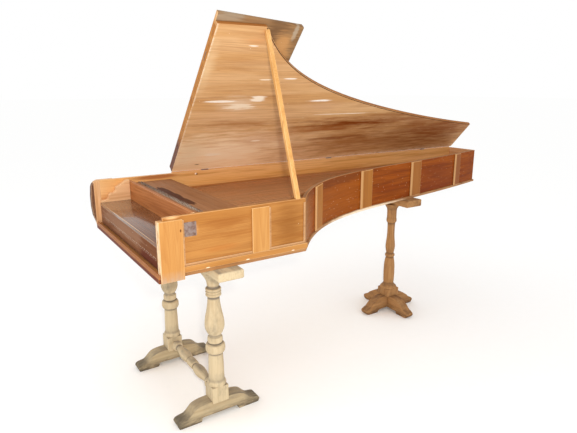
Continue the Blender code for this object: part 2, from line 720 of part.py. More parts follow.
def make_cover():
    """Keyboard cover: a top board and a front board that pull off forwards together."""
    low_x = INNER_LOW_X + KEY_CHEEK_WIDTH + GAP
    high_x = INNER_HIGH_X - KEY_CHEEK_WIDTH - GAP
    under = COVER_HEIGHT - COVER_BOARD
    top = box((low_x, COVER_FRONT_Y, under), (high_x, NAMEBOARD_Y - GAP, COVER_HEIGHT))
    round_edges(solid("cover_top", top, "cover_wood"), 0.001)
    front_low = (low_x, COVER_FRONT_Y, RAIL_TOP + 0.0006)
    front = box(front_low, (high_x, COVER_FRONT_Y + COVER_BOARD, under - GAP))
    solid("cover_front", front, "cover_wood")


def open_lid(thing):
    """Turn a lid piece about the hinge axis on the spine to its propped angle."""
    thing.parent = LID_HINGE
    thing.location = thing.location - CASE_ORIGIN - LID_AXIS
    return thing


def make_main_lid():
    """Main leaf of the lid, from the split to the tail, following the bentside."""
    outline = [(0.0, LID_SPLIT), (CASE_WIDTH, LID_SPLIT)]
    outline += curve_run(LID_CURVE, 0.0) + [(0.0, LID_LENGTH)]
    lid = shade_round(solid("lid_main", prism(outline, LID_UNDER, LID_TOP), "lid_wood"))
    open_lid(round_edges(lid, 0.002))


def flap_outline():
    """Return the front leaf's outline, with its treble front corner rounded."""
    back_y = LID_SPLIT - 0.0005
    radius = FLAP_CORNER_RADIUS
    corner = arc((FLAP_WIDTH_AT_FRONT - radius, FLAP_FRONT + radius), radius, 0.0, -90.0, 4)
    return [(0.0, back_y), (FLAP_WIDTH_AT_SPLIT, back_y)] + corner + [(0.0, FLAP_FRONT)]


def make_flap():
    """Front leaf, folded right back on the main leaf about their upper joint line."""
    joint_z = LID_TOP + 0.0003
    joint = Vector((0.0, LID_SPLIT, joint_z))
    bm = prism(flap_outline(), LID_UNDER, LID_TOP)
    flap = round_edges(solid("lid_flap", bm, "flap_wood", joint), 0.002)
    flap.rotation_euler = (math.pi, 0.0, 0.0)
    open_lid(flap)


def make_lid_hinges():
    """Iron hinges on the spine: a leaf on its outer face and a barrel on the lid's axis."""
    half, barrel_half = HINGE_LEAF[0] / 2, HINGE_BARREL_LENGTH / 2
    for number, middle in enumerate(HINGE_PLACES_Y, start=1):
        leaf_low = (LID_AXIS.x + 0.002, middle - half, CASE_HEIGHT - HINGE_LEAF[1])
        leaf_high = (-GAP, middle + half, CASE_HEIGHT - 0.001)
        hinge = solid(f"lid_hinge_{number}", box(leaf_low, leaf_high), "iron")
        ring = arc((LID_AXIS.x, LID_AXIS.z), HINGE_RADIUS, 0.0, 337.5, 15)
        barrel = prism(ring, middle - barrel_half, middle + barrel_half, "y")
        add_boolean(hinge, cutter(f"hinge_barrel_{number}", barrel), "UNION")


def lid_point(reach, height=0.0):
    """Return X and Z of a point of the open lid: reach from the spine, height over its underside."""
    along = reach - LID_AXIS.x
    up = LID_UNDER - LID_AXIS.z + height
    cos, sin = math.cos(LID_ANGLE), math.sin(LID_ANGLE)
    return LID_AXIS.x + along * cos - up * sin, LID_AXIS.z + along * sin + up * cos


def make_prop_stick():
    """Loose stick that stands on the cheek's rim; both ends are cut to fit."""
    foot_x = CHEEK_FACE - WALL / 2
    foot_z = CASE_HEIGHT + 0.0004
    top_x, top_z = lid_point(STICK_REACH, -0.0006)
    slope = Vector((top_x - foot_x, top_z - foot_z)).normalized()
    half = STICK_WIDTH / 2
    foot_half = half / slope.y
    lid_slope = Vector((math.cos(LID_ANGLE), math.sin(LID_ANGLE)))
    across = Vector((slope.y, -slope.x))
    top_half = half / lid_slope.dot(across)
    rest = half * abs(slope.x) / slope.y
    left, right = foot_x - foot_half, foot_x + foot_half
    outline = [
        (left, foot_z),
        (right, foot_z),
        (top_x + top_half * lid_slope.x, top_z + top_half * lid_slope.y),
        (top_x - top_half * lid_slope.x, top_z - top_half * lid_slope.y),
    ]
    bm = prism(outline, STICK_FOOT_Y - STICK_THICKNESS / 2, STICK_FOOT_Y + STICK_THICKNESS / 2, "y")
    lean = (STICK_TOP_Y - STICK_FOOT_Y) / (top_z - foot_z)
    for vert in bm.verts:
        vert.co.y += lean * (vert.co.z - foot_z)
    solid("prop_stick", bm, "stick_wood", (foot_x, STICK_FOOT_Y, foot_z + rest))


def turned(name, profile, material, place, along_x=False):
    """Lathe-turned piece: a profile of (radius, height) rows from top to bottom."""
    bm = bmesh.new()
    rows = [(0.0, profile[0][1])] + list(profile) + [(0.0, profile[-1][1])]
    verts = [bm.verts.new((radius, 0.0, height)) for radius, height in rows]
    for first, second in zip(verts, verts[1:]):
        bm.edges.new((first, second))
    mesh = bpy.data.meshes.new(name)
    bm.to_mesh(mesh)
    bm.free()
    thing = bpy.data.objects.new(name, mesh)
    bpy.context.scene.collection.objects.link(thing)
    thing.location = Vector(place) + CASE_ORIGIN
    if along_x:
        thing.rotation_euler = (0.0, math.pi / 2, 0.0)
    screw = thing.modifiers.new("turning", "SCREW")
    screw.steps = TURNED_STEPS
    screw.render_steps = TURNED_STEPS
    screw.use_merge_vertices = True
    screw.merge_threshold = 0.0001
    screw.use_smooth_shade = True
    return paint(thing, material)


def trestle_profile():
    """Turned profile of a trestle column over its square block, as (radius, height)."""
    top = STAND_HEIGHT - PLANK_THICKNESS - 0.0006
    return [
        (0.058, top), (0.0560, 0.6418), (0.0500, 0.6277), (0.0380, 0.6096), (0.0280, 0.5915),
        (0.0245, 0.5714), (0.0245, 0.5613), (0.0295, 0.5583), (0.0315, 0.5533), (0.0285, 0.5478),
        (0.0315, 0.5422), (0.0285, 0.5367), (0.0315, 0.5312), (0.0295, 0.5261), (0.0245, 0.5231),
        (0.0245, 0.5060), (0.0290, 0.4708), (0.0361, 0.4356), (0.0397, 0.4084), (0.0386, 0.3873),
        (0.0310, 0.3682), (0.0260, 0.3602), (0.0260, 0.3521), (0.0300, 0.3471), (0.0300, 0.3280),
        (0.0260, 0.3229), (0.0360, 0.3179), (0.0395, 0.3079), (0.0395, 0.2938), (0.0360, 0.2837),
        (0.0300, 0.2797), (0.0310, 0.2294), (0.0325, 0.1691), (0.0340, 0.1570), (0.0385, 0.1469),
        (0.0385, 0.1389), (0.0340, 0.1288),
    ]


def pedestal_profile():
    """Turned profile of the pedestal's column over its block, as (radius, height)."""
    top = STAND_HEIGHT - PEDESTAL_PLANK_THICKNESS - 0.0006
    return [
        (0.044, top), (0.0380, 0.6440), (0.0290, 0.6260), (0.0275, 0.5940), (0.0280, 0.5740),
        (0.0295, 0.5640), (0.0295, 0.5540), (0.0255, 0.5460), (0.0225, 0.5390), (0.0215, 0.5040),
        (0.0225, 0.4590), (0.0265, 0.4190), (0.0280, 0.3990), (0.0260, 0.3790), (0.0230, 0.3620),
        (0.0230, 0.3540), (0.0280, 0.3480), (0.0280, 0.3380), (0.0240, 0.3320), (0.0280, 0.3090),
        (0.0315, 0.2790), (0.0325, 0.2290), (0.0315, 0.1840), (0.0305, 0.1680), (0.0360, 0.1580),
        (0.0460, 0.1480), (0.0500, 0.1390), (0.0440, 0.1300),
    ]


def floor_profile(profile):
    """Move a profile measured from the floor into case coordinates."""
    return [(radius, height + FLOOR) for radius, height in profile]


def square_block(centre_x, centre_y, size, low, high):
    """Return a block square in plan; its heights are counted from the floor."""
    half = size / 2
    low_corner = (centre_x - half, centre_y - half, FLOOR + low)
    return box(low_corner, (centre_x + half, centre_y + half, FLOOR + high))


def make_trestle_columns():
    """Two turned columns, each in one piece with its square block."""
    for name, x in zip(("bass", "treble"), TRESTLE_COLUMN_X):
        place = (x, TRESTLE_COLUMN_Y, 0.0)
        column = turned(f"trestle_column_{name}", floor_profile(trestle_profile()), "stand_wood", place)
        block = square_block(x, TRESTLE_COLUMN_Y, BLOCK_SIZE, BLOCK_BASE, BLOCK_TOP)
        add_boolean(column, cutter(f"column_block_{name}", block), "UNION")


def trestle_foot_half():
    """Return half of a trestle foot's scroll outline: distance from its middle, height."""
    seat = BLOCK_SIZE / 2 + GAP
    return [
        (0.0, 0.018), (0.074, 0.019), (0.082, 0.010), (0.086, 0.0), (0.170, 0.0), (0.180, 0.005),
        (0.184, 0.015), (0.178, 0.025), (0.162, 0.030), (0.144, 0.033), (0.132, 0.041),
        (0.121, 0.052), (0.108, 0.064), (0.090, 0.071), (0.066, 0.075), (seat, 0.076),
        (seat, BLOCK_BASE - GAP), (0.0, BLOCK_BASE - GAP),
    ]


def pedestal_foot_half():
    """Return half of a pedestal foot's scroll outline: distance from its middle, height."""
    top = PEDESTAL_BLOCK_BASE - GAP
    return [
        (0.0, 0.018), (0.085, 0.016), (0.098, 0.008), (0.104, 0.0), (0.166, 0.0), (0.182, 0.006),
        (0.189, 0.017), (0.186, 0.028), (0.172, 0.036), (0.158, 0.042), (0.148, 0.051),
        (0.138, 0.061), (0.124, 0.070), (0.104, 0.083), (0.085, 0.089), (0.060, top), (0.0, top),
    ]


def mirrored(half):
    """Close an outline drawn for one side only, by mirroring it."""
    other = [(-a, b) for a, b in reversed(half) if a > 0.0]
    return half + other


def shifted(outline, along, up):
    """Move an outline."""
    return [(a + along, b + up) for a, b in outline]


def make_trestle_feet():
    """Scroll feet run from front to back; each column's block sits in a saddle."""
    outline = shifted(mirrored(trestle_foot_half()), TRESTLE_COLUMN_Y, FLOOR)
    for name, x in zip(("bass", "treble"), TRESTLE_COLUMN_X):
        bm = prism(outline, x - FOOT_THICKNESS / 2, x + FOOT_THICKNESS / 2, "x")
        solid(f"trestle_foot_{name}", bm, "stand_wood")


def make_trestle_plank():
    """Plank across the columns that carries the keyboard end."""
    low = (-TRESTLE_OVERHANG, TRESTLE_PLANK_Y[0], -PLANK_THICKNESS)
    high = (CASE_WIDTH + TRESTLE_OVERHANG, TRESTLE_PLANK_Y[1], -GAP)
    plank = solid("trestle_plank", box(low, high), "stand_wood")
    round_edges(plank, 0.007, 3)


def make_trestle_stretcher():
    """Turned stretcher between the two blocks, thickest in the middle."""
    low_x = TRESTLE_COLUMN_X[0] + BLOCK_SIZE / 2 + GAP
    high_x = TRESTLE_COLUMN_X[1] - BLOCK_SIZE / 2 - GAP
    half = (high_x - low_x) / 2
    middle = (low_x + high_x) / 2
    side = [
        (0.0133, half), (0.0133, half - 0.012), (0.0222, half - 0.018), (0.0252, half - 0.030),
        (0.0207, half - 0.044), (0.0133, half - 0.052), (0.0155, half - 0.070), (0.0222, half - 0.110),
        (0.0244, half - 0.140), (0.0200, half - 0.172), (0.0133, half - 0.186), (0.0192, half - 0.192),
        (0.0207, half - 0.205),
    ]
    profile = side + [(radius, -height) for radius, height in reversed(side)]
    place = (middle, TRESTLE_COLUMN_Y, FLOOR + STRETCHER_HEIGHT)
    turned("trestle_stretcher", profile, "stand_wood", place, along_x=True)


def make_pedestal_plank():
    """Short plank that carries the tail."""
    low = (PEDESTAL_PLANK_X[0], PEDESTAL_PLANK_Y[0], -PEDESTAL_PLANK_THICKNESS)
    high = (PEDESTAL_PLANK_X[1], PEDESTAL_PLANK_Y[1], -GAP)
    round_edges(solid("pedestal_plank", box(low, high), "pedestal_wood"), 0.006, 3)


def make_pedestal_column():
    """One turned column in one piece with its square block."""
    place = (PEDESTAL_X, PEDESTAL_Y, 0.0)
    column = turned("pedestal_column", floor_profile(pedestal_profile()), "pedestal_wood", place)
    base, top = PEDESTAL_BLOCK_BASE, PEDESTAL_BLOCK_TOP
    block = square_block(PEDESTAL_X, PEDESTAL_Y, PEDESTAL_BLOCK_SIZE, base, top)
    add_boolean(column, cutter("pedestal_block", block), "UNION")


def make_pedestal_feet():
    """Two scroll feet cross under the column; they are halved into each other."""
    half_width = PEDESTAL_FOOT_THICKNESS / 2
    half = pedestal_foot_half()
    halving = FLOOR + PEDESTAL_HALVING_HEIGHT
    reach = half_width + GAP
    past = 2 * half_width
    across = shifted(mirrored(half), PEDESTAL_X, FLOOR)
    low_y, high_y = PEDESTAL_Y - half_width, PEDESTAL_Y + half_width
    foot_x = solid("pedestal_foot_across", prism(across, low_y, high_y, "y"), "pedestal_wood")
    notch_low = (PEDESTAL_X - reach, PEDESTAL_Y - past, halving - GAP)
    notch_high = (PEDESTAL_X + reach, PEDESTAL_Y + past, halving + past)
    add_boolean(foot_x, cutter("notch_across", box(notch_low, notch_high)), "DIFFERENCE")
    along = shifted(mirrored(half), PEDESTAL_Y, FLOOR)
    low_x, high_x = PEDESTAL_X - half_width, PEDESTAL_X + half_width
    foot_y = solid("pedestal_foot_along", prism(along, low_x, high_x, "x"), "pedestal_wood")
    notch_low = (PEDESTAL_X - past, PEDESTAL_Y - reach, halving - past)
    notch_high = (PEDESTAL_X + past, PEDESTAL_Y + reach, halving)
    add_boolean(foot_y, cutter("notch_along", box(notch_low, notch_high)), "DIFFERENCE")


def make_lid_hinge_empty():
    """The lid's hinge axis; the open lid hangs on it."""
    hinge = bpy.data.objects.new("lid_axis", None)
    bpy.context.scene.collection.objects.link(hinge)
    hinge.location = LID_AXIS + CASE_ORIGIN
    hinge.rotation_euler = (0.0, -LID_ANGLE, 0.0)
    return hinge


clear_scene()
WOODS = make_materials()
LID_HINGE = make_lid_hinge_empty()

make_bottom_board()
make_spine()
make_cheek()
make_bentside()
make_tail_board()
make_front_rail()
make_front_sill()
make_bass_stile()
make_treble_stile()
make_cheek_stile()
make_cheek_bottom_rail()
make_cheek_mouldings()
make_lock_plate()
make_bentside_stiles()
make_key_cheeks()
make_nameboard()
make_wrestplank()
make_nut()
make_belly_rail()
make_soundboard()
make_bridge()
make_hitchpin_rail()
make_key_frame()
make_keys()
make_hammers()
make_hammer_rail()
make_dampers()
make_cover()
make_main_lid()
make_flap()
make_lid_hinges()
make_prop_stick()
make_trestle_columns()
make_trestle_feet()
make_trestle_plank()
make_trestle_stretcher()
make_pedestal_plank()
make_pedestal_column()
make_pedestal_feet()
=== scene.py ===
import json
import math

import bmesh
import bpy
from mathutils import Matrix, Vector
from mathutils.geometry import interpolate_bezier


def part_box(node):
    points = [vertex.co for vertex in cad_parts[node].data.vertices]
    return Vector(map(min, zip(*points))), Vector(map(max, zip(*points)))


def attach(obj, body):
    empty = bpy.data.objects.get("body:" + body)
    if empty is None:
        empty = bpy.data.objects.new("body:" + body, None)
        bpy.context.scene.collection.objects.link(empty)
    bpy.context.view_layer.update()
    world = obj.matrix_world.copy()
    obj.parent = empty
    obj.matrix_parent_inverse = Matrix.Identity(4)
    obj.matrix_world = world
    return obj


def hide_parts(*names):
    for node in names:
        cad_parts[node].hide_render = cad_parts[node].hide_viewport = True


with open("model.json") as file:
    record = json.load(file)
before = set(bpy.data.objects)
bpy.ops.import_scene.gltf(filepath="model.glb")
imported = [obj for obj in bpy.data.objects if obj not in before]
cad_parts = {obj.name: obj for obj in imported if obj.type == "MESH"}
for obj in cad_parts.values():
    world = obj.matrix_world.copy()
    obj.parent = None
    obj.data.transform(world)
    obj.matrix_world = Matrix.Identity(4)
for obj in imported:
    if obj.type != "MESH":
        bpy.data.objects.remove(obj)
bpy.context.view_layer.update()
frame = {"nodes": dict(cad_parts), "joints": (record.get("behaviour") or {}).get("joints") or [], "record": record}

MM = 0.001

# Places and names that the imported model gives. The case's own corner is under the spine's outer face, level
# with the front of the treble stile, on the case's underside
RECORD = frame["record"]
BODY_OF = {node: body for body, nodes in RECORD["behaviour"]["bodies"].items() for node in nodes}
JOINTS = {joint["name"]: joint for joint in frame["joints"]}
CASE = Vector((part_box("spine")[0].x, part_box("front_stile_treble")[0].y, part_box("bottom_board")[0].z))
LID_AXIS = Vector(JOINTS["lid_hinge"]["pos_m"])
LID_ANGLE = math.radians(-min(JOINTS["lid_hinge"]["range_deg"]))
LID_COS, LID_SIN = math.cos(LID_ANGLE), math.sin(LID_ANGLE)
LID_UP = Vector((-LID_SIN, 0.0, LID_COS))
LEAF_JOINT = Vector(JOINTS["flap_hinge"]["pos_m"])
GROUPS = ("bass", "tenor", "middle", "treble")
XYZ = (Vector((1, 0, 0)), Vector((0, 1, 0)), Vector((0, 0, 1)))
# Over this height in the case there is only the leather of the hammers
HAMMER_HEAD = 0.1195
# Faces that meet at more than this keep a sharp edge, which is then softened
SHARP_DEG = 35.0

# The camera's place in the case's own measure, its turns and its lens, solved from the case's parallel edges
EYE = (2.41144, -0.51342, 0.62522)
EYE_DOWN_DEG = 14.275
EYE_TURN_DEG = 56.834
LENS_MM = 31.82
FILM_MM = 36.0


def at(x, y, z):
    """A place in the case's own measure: from the spine, from the front, from the underside."""
    return CASE + Vector((x, y, z))


def on_lid(reach, y, height):
    """A place on the open lid: reach from its hinge line, height over that line's plane."""
    across = reach * LID_COS - height * LID_SIN
    up = reach * LID_SIN + height * LID_COS
    return Vector((LID_AXIS.x + across, CASE.y + y, LID_AXIS.z + up))


def put_in_scene(name, data):
    """Make an object of a mesh, a lamp or a camera and put it in the scene."""
    made = bpy.data.objects.new(name, data)
    bpy.context.scene.collection.objects.link(made)
    return made


# Camera and room

def make_camera():
    """Stand where the photographer stood: on the treble side of the keyboard, at eye height."""
    data = bpy.data.cameras.new("camera")
    camera = put_in_scene("camera", data)
    camera.location = at(*EYE)
    camera.rotation_euler = (math.radians(90.0 - EYE_DOWN_DEG), 0.0, math.radians(EYE_TURN_DEG))
    data.sensor_width = FILM_MM
    data.lens = LENS_MM
    data.clip_start = 0.05
    bpy.context.scene.camera = camera


def make_light(name, place, target, size, power, tone):
    """Hang one soft box and turn it to the instrument."""
    data = bpy.data.lights.new(name, "AREA")
    data.shape = "DISK"
    data.size = size
    data.energy = power
    data.color = linear(tone)[:3]
    lamp = put_in_scene(name, data)
    lamp.location = place
    lamp.rotation_euler = (target - place).to_track_quat("-Z", "Y").to_euler()


def make_room():
    """A white floor in an even white surround, a light beside the camera and one behind the player."""
    bm = bmesh.new()
    bmesh.ops.create_grid(bm, x_segments=1, y_segments=1, size=60.0)
    mesh = bpy.data.meshes.new("floor")
    bm.to_mesh(mesh)
    bm.free()
    mesh.materials.append(painted_floor())
    put_in_scene("floor", mesh)
    world = bpy.data.worlds.new("surround")
    world.use_nodes = True
    surround = world.node_tree.nodes["Background"]
    surround.inputs["Color"].default_value = linear("#FFFFFF")
    surround.inputs["Strength"].default_value = 1.0
    bpy.context.scene.world = world
    bpy.context.scene.view_settings.view_transform = "Standard"
    make_light("beside_camera", at(2.45, -0.45, 0.73), at(0.35, 0.7, 0.25), 0.08, 24.0, "#FFF6EA")
    make_light("from_player", at(-0.6, -2.6, 1.5), at(0.4, 0.5, 0.0), 2.4, 12.0, "#FFFAF4")


# Colours and nodes

def linear(code):
    """Turn an sRGB hex colour into linear light."""
    channels = [int(code[i:i + 2], 16) / 255 for i in (1, 3, 5)]
    return [c / 12.92 if c <= 0.04045 else ((c + 0.055) / 1.055) ** 2.4 for c in channels] + [1.0]


def add(tree, kind, inputs=None, **settings):
    """Add one node with its settings; an input is a value, a hex colour, a node or an output."""
    node = tree.nodes.new("ShaderNode" + kind)
    for name, value in settings.items():
        setattr(node, name, value)
    for key, value in (inputs or {}).items():
        socket = node.inputs[key] if isinstance(key, int) else first_shown(node.inputs, key)
        if isinstance(value, bpy.types.Node):
            value = first_shown(value.outputs)
        if isinstance(value, bpy.types.NodeSocket):
            tree.links.new(value, socket)
        elif isinstance(value, str):
            socket.default_value = linear(value)
        else:
            socket.default_value = value
    return node


def first_shown(sockets, name=None):
    """Return the first socket in use, of a given name if there is one."""
    return next(socket for socket in sockets if socket.enabled and name in (None, socket.name))


def start_finish(name):
    """Begin a finish: a material with its shader, and with the grain's coordinates for its patterns."""
    material = bpy.data.materials.new(name)
    material.use_nodes = True
    add(material.node_tree, "Attribute", name="grain", attribute_name="grain")
    return material, material.node_tree


def close_finish(tree, colour, field, rough, relief, depth_mm, **even):
    """Join colour, gloss and relief to the shader; what is even all over is set on the shader itself."""
    shader = tree.nodes["Principled BSDF"]
    gloss = add(tree, "MapRange", {"Value": field, "To Min": rough[0], "To Max": rough[1]})
    tree.links.new(first_shown(colour.outputs), shader.inputs["Base Color"])
    tree.links.new(first_shown(gloss.outputs), shader.inputs["Roughness"])
    bump = add(tree, "Bump", {"Height": relief, "Distance": depth_mm * MM, "Strength": 0.7})
    tree.links.new(bump.outputs["Normal"], shader.inputs["Normal"])
    for name, value in even.items():
        shader.inputs[name.replace("_", " ")].default_value = value


# Grain. Each wooden piece carries "grain" coordinates in metres: along the grain, then two ways across it

def long_cloud(tree, run, width, shift, detail, rough):
    """Noise drawn out along the grain: how far its clouds run and how wide they are, in metres."""
    place = tree.nodes["grain"].outputs["Vector"]
    scale = (1 / run, 1 / width, 1 / width)
    drawn = add(tree, "Mapping", {"Vector": place, "Scale": scale, "Location": (shift, shift, shift)})
    return add(tree, "TexNoise", {"Vector": drawn, "Scale": 1.0, "Detail": detail, "Roughness": rough})


def streaks(tree, run_mm, width_mm, low, high, detail, shift, strength=1.0):
    """Streaks that run along the grain: 0 where there is none, their strength where one is full."""
    cloud = long_cloud(tree, run_mm * MM, width_mm * MM, shift, detail, 0.6)
    limits = {"Value": cloud, "From Min": low, "From Max": high, "To Max": strength}
    return add(tree, "MapRange", limits, interpolation_type="SMOOTHSTEP")


def late_wood(tree, ring_mm, shift):
    """Growth rings cut lengthwise: each line darkens slowly and ends sharply."""
    straight, rings_in_field = 34.0, 36.0
    field = 0.5 * rings_in_field * ring_mm * MM
    cloud = long_cloud(tree, straight * field, field, shift, 1.0, 0.3)
    counted = add(tree, "Math", {0: cloud, 1: rings_in_field}, operation="MULTIPLY")
    ring = add(tree, "Math", {0: counted}, operation="FRACT")
    limits = {"Value": ring, "From Min": 0.3, "From Max": 0.9}
    rise = add(tree, "MapRange", limits, interpolation_type="SMOOTHSTEP")
    fall = add(tree, "MapRange", {"Value": ring, "From Min": 1.0, "From Max": 0.93})
    return add(tree, "Math", {0: rise, 1: fall}, operation="MULTIPLY")


def board_grain(tree, dark, middle, light, ring_mm, line, shift, flame=0.6):
    """Colour and relief of a planed board: soft bands, faint rings, and fibre drawn 1.6 mm wide to show."""
    band = streaks(tree, 700.0, 55.0, 0.35, 0.65, 3.0, shift)
    clouds = streaks(tree, 330.0, 16.0, 0.42, 0.74, 5.0, shift + 3.0, flame)
    fibre = streaks(tree, 70.0, 1.6, 0.3, 0.7, 2.0, shift + 7.0)
    rings = late_wood(tree, ring_mm, shift)
    lines = add(tree, "Math", {0: rings, 1: line}, operation="MULTIPLY")
    fine = add(tree, "Math", {0: fibre, 1: 0.16}, operation="MULTIPLY")
    colour = add(tree, "Mix", {"Factor": band, "A": middle, "B": light}, data_type="RGBA")
    for mask in (clouds, lines, fine):
        colour = add(tree, "Mix", {"Factor": mask, "A": colour, "B": dark}, data_type="RGBA")
    relief = add(tree, "Math", {0: fibre, 1: rings}, operation="ADD")
    return colour, relief, fibre


# Kinds of marks. Each gives a mask, and the mark's tone is laid over the board through it

def mark(tree, centre, reach, strength, ragged, soft=0.55):
    """One stain, worn patch, or patch of painted light or shade: its middle and half sizes in grain coordinates,
    in metres.
    """
    place = tree.nodes["grain"].outputs["Vector"]
    near = add(tree, "Mapping", {"Vector": place, "Location": centre, "Scale": reach}, vector_type="TEXTURE")
    far = add(tree, "VectorMath", {0: near}, operation="LENGTH").outputs["Value"]
    shift = centre[0] + centre[1]
    edge = streaks(tree, 180.0, 8.0, 0.2, 0.8, 4.0, shift)
    patch = streaks(tree, 130.0, 20.0, 0.3, 0.7, 5.0, shift + 2.0)
    broken = add(tree, "Mix", {"Factor": 0.5, "A": edge, "B": patch})
    moved = add(tree, "Math", {0: broken, 1: ragged, 2: far}, operation="MULTIPLY_ADD")
    outer = 1.0 + ragged * 0.5
    limits = {"Value": moved, "From Min": outer, "From Max": outer - soft, "To Max": strength}
    return add(tree, "MapRange", limits, interpolation_type="SMOOTHSTEP")


def patches(third, third_reach, soft, rows):
    """Marks that share their third coordinate and softness, from rows of what differs."""
    return [
        (tone, mark, (*centre, third), (*reach, third_reach), strength, ragged, soft)
        for tone, centre, reach, strength, ragged in rows
    ]


def rub_and_painted_light(tree, axis, start, end, strength, broken):
    """A band along an edge, of rubbed wear or of painted light and shade: full at the end value of one grain
    coordinate, none at the start.
    """
    place = tree.nodes["grain"].outputs["Vector"]
    along = add(tree, "SeparateXYZ", {0: place}).outputs["XYZ".index(axis)]
    full = add(tree, "MapRange", {"Value": along, "From Min": start, "From Max": end})
    gaps = streaks(tree, 35.0, 12.0, 0.3, 0.6, 3.0, start + end + 5.0)
    held = add(tree, "MapRange", {"Value": gaps, "To Min": strength * (1.0 - broken), "To Max": strength})
    return add(tree, "Math", {0: full, 1: held}, operation="MULTIPLY")


def specks(tree, spacing_mm, size_mm, strength):
    """Small round specks, such as worm holes with pale dust in them."""
    place = tree.nodes["grain"].outputs["Vector"]
    cells = add(tree, "TexVoronoi", {"Vector": place, "Scale": 1 / (spacing_mm * MM)})
    share = size_mm / spacing_mm
    edge = {"From Min": share, "From Max": share * 0.6, "To Max": strength}
    return add(tree, "MapRange", {"Value": cells.outputs["Distance"], **edge})


def fleck_row(tree, height, spacing_mm, size_mm):
    """A row of small flecks at one height, unevenly spaced along a board that runs across the case."""
    place = tree.nodes["grain"].outputs["Vector"]
    parts = add(tree, "SeparateXYZ", {0: place})
    spacing = {"W": parts.outputs["X"], "Scale": 1 / (spacing_mm * MM)}
    cells = add(tree, "TexVoronoi", spacing, voronoi_dimensions="1D")
    along = add(tree, "Math", {0: cells.outputs["Distance"], 1: spacing_mm / size_mm}, operation="MULTIPLY")
    size = size_mm * MM
    up = add(tree, "Math", {0: parts.outputs["Z"], 1: 1 / size, 2: -height / size}, operation="MULTIPLY_ADD")
    off = add(tree, "CombineXYZ", {"X": along, "Y": up})
    far = add(tree, "VectorMath", {0: off}, operation="LENGTH").outputs["Value"]
    return add(tree, "MapRange", {"Value": far, "From Min": 1.0, "From Max": 0.6, "To Max": 0.85})


def settled_dust(tree, amount):
    """Dust on what faces up."""
    facing = add(tree, "TexCoord").outputs["Normal"]
    up = add(tree, "SeparateXYZ", {0: facing}).outputs["Z"]
    level = add(tree, "MapRange", {"Value": up, "From Min": 0.5, "From Max": 0.95, "To Max": amount})
    drifts = streaks(tree, 160.0, 45.0, 0.25, 0.75, 4.0, 11.0)
    return add(tree, "Math", {0: level, 1: drifts}, operation="MULTIPLY")


def lay_over(tree, colour, layers):
    """Lay tones over a colour, each through its mask, one after another."""
    for tone, mask in layers:
        colour = add(tree, "Mix", {"Factor": mask, "A": colour, "B": tone}, data_type="RGBA")
    return colour


# Marks of each board, in the order they are laid: the tone, the kind of mark, and that kind's own values

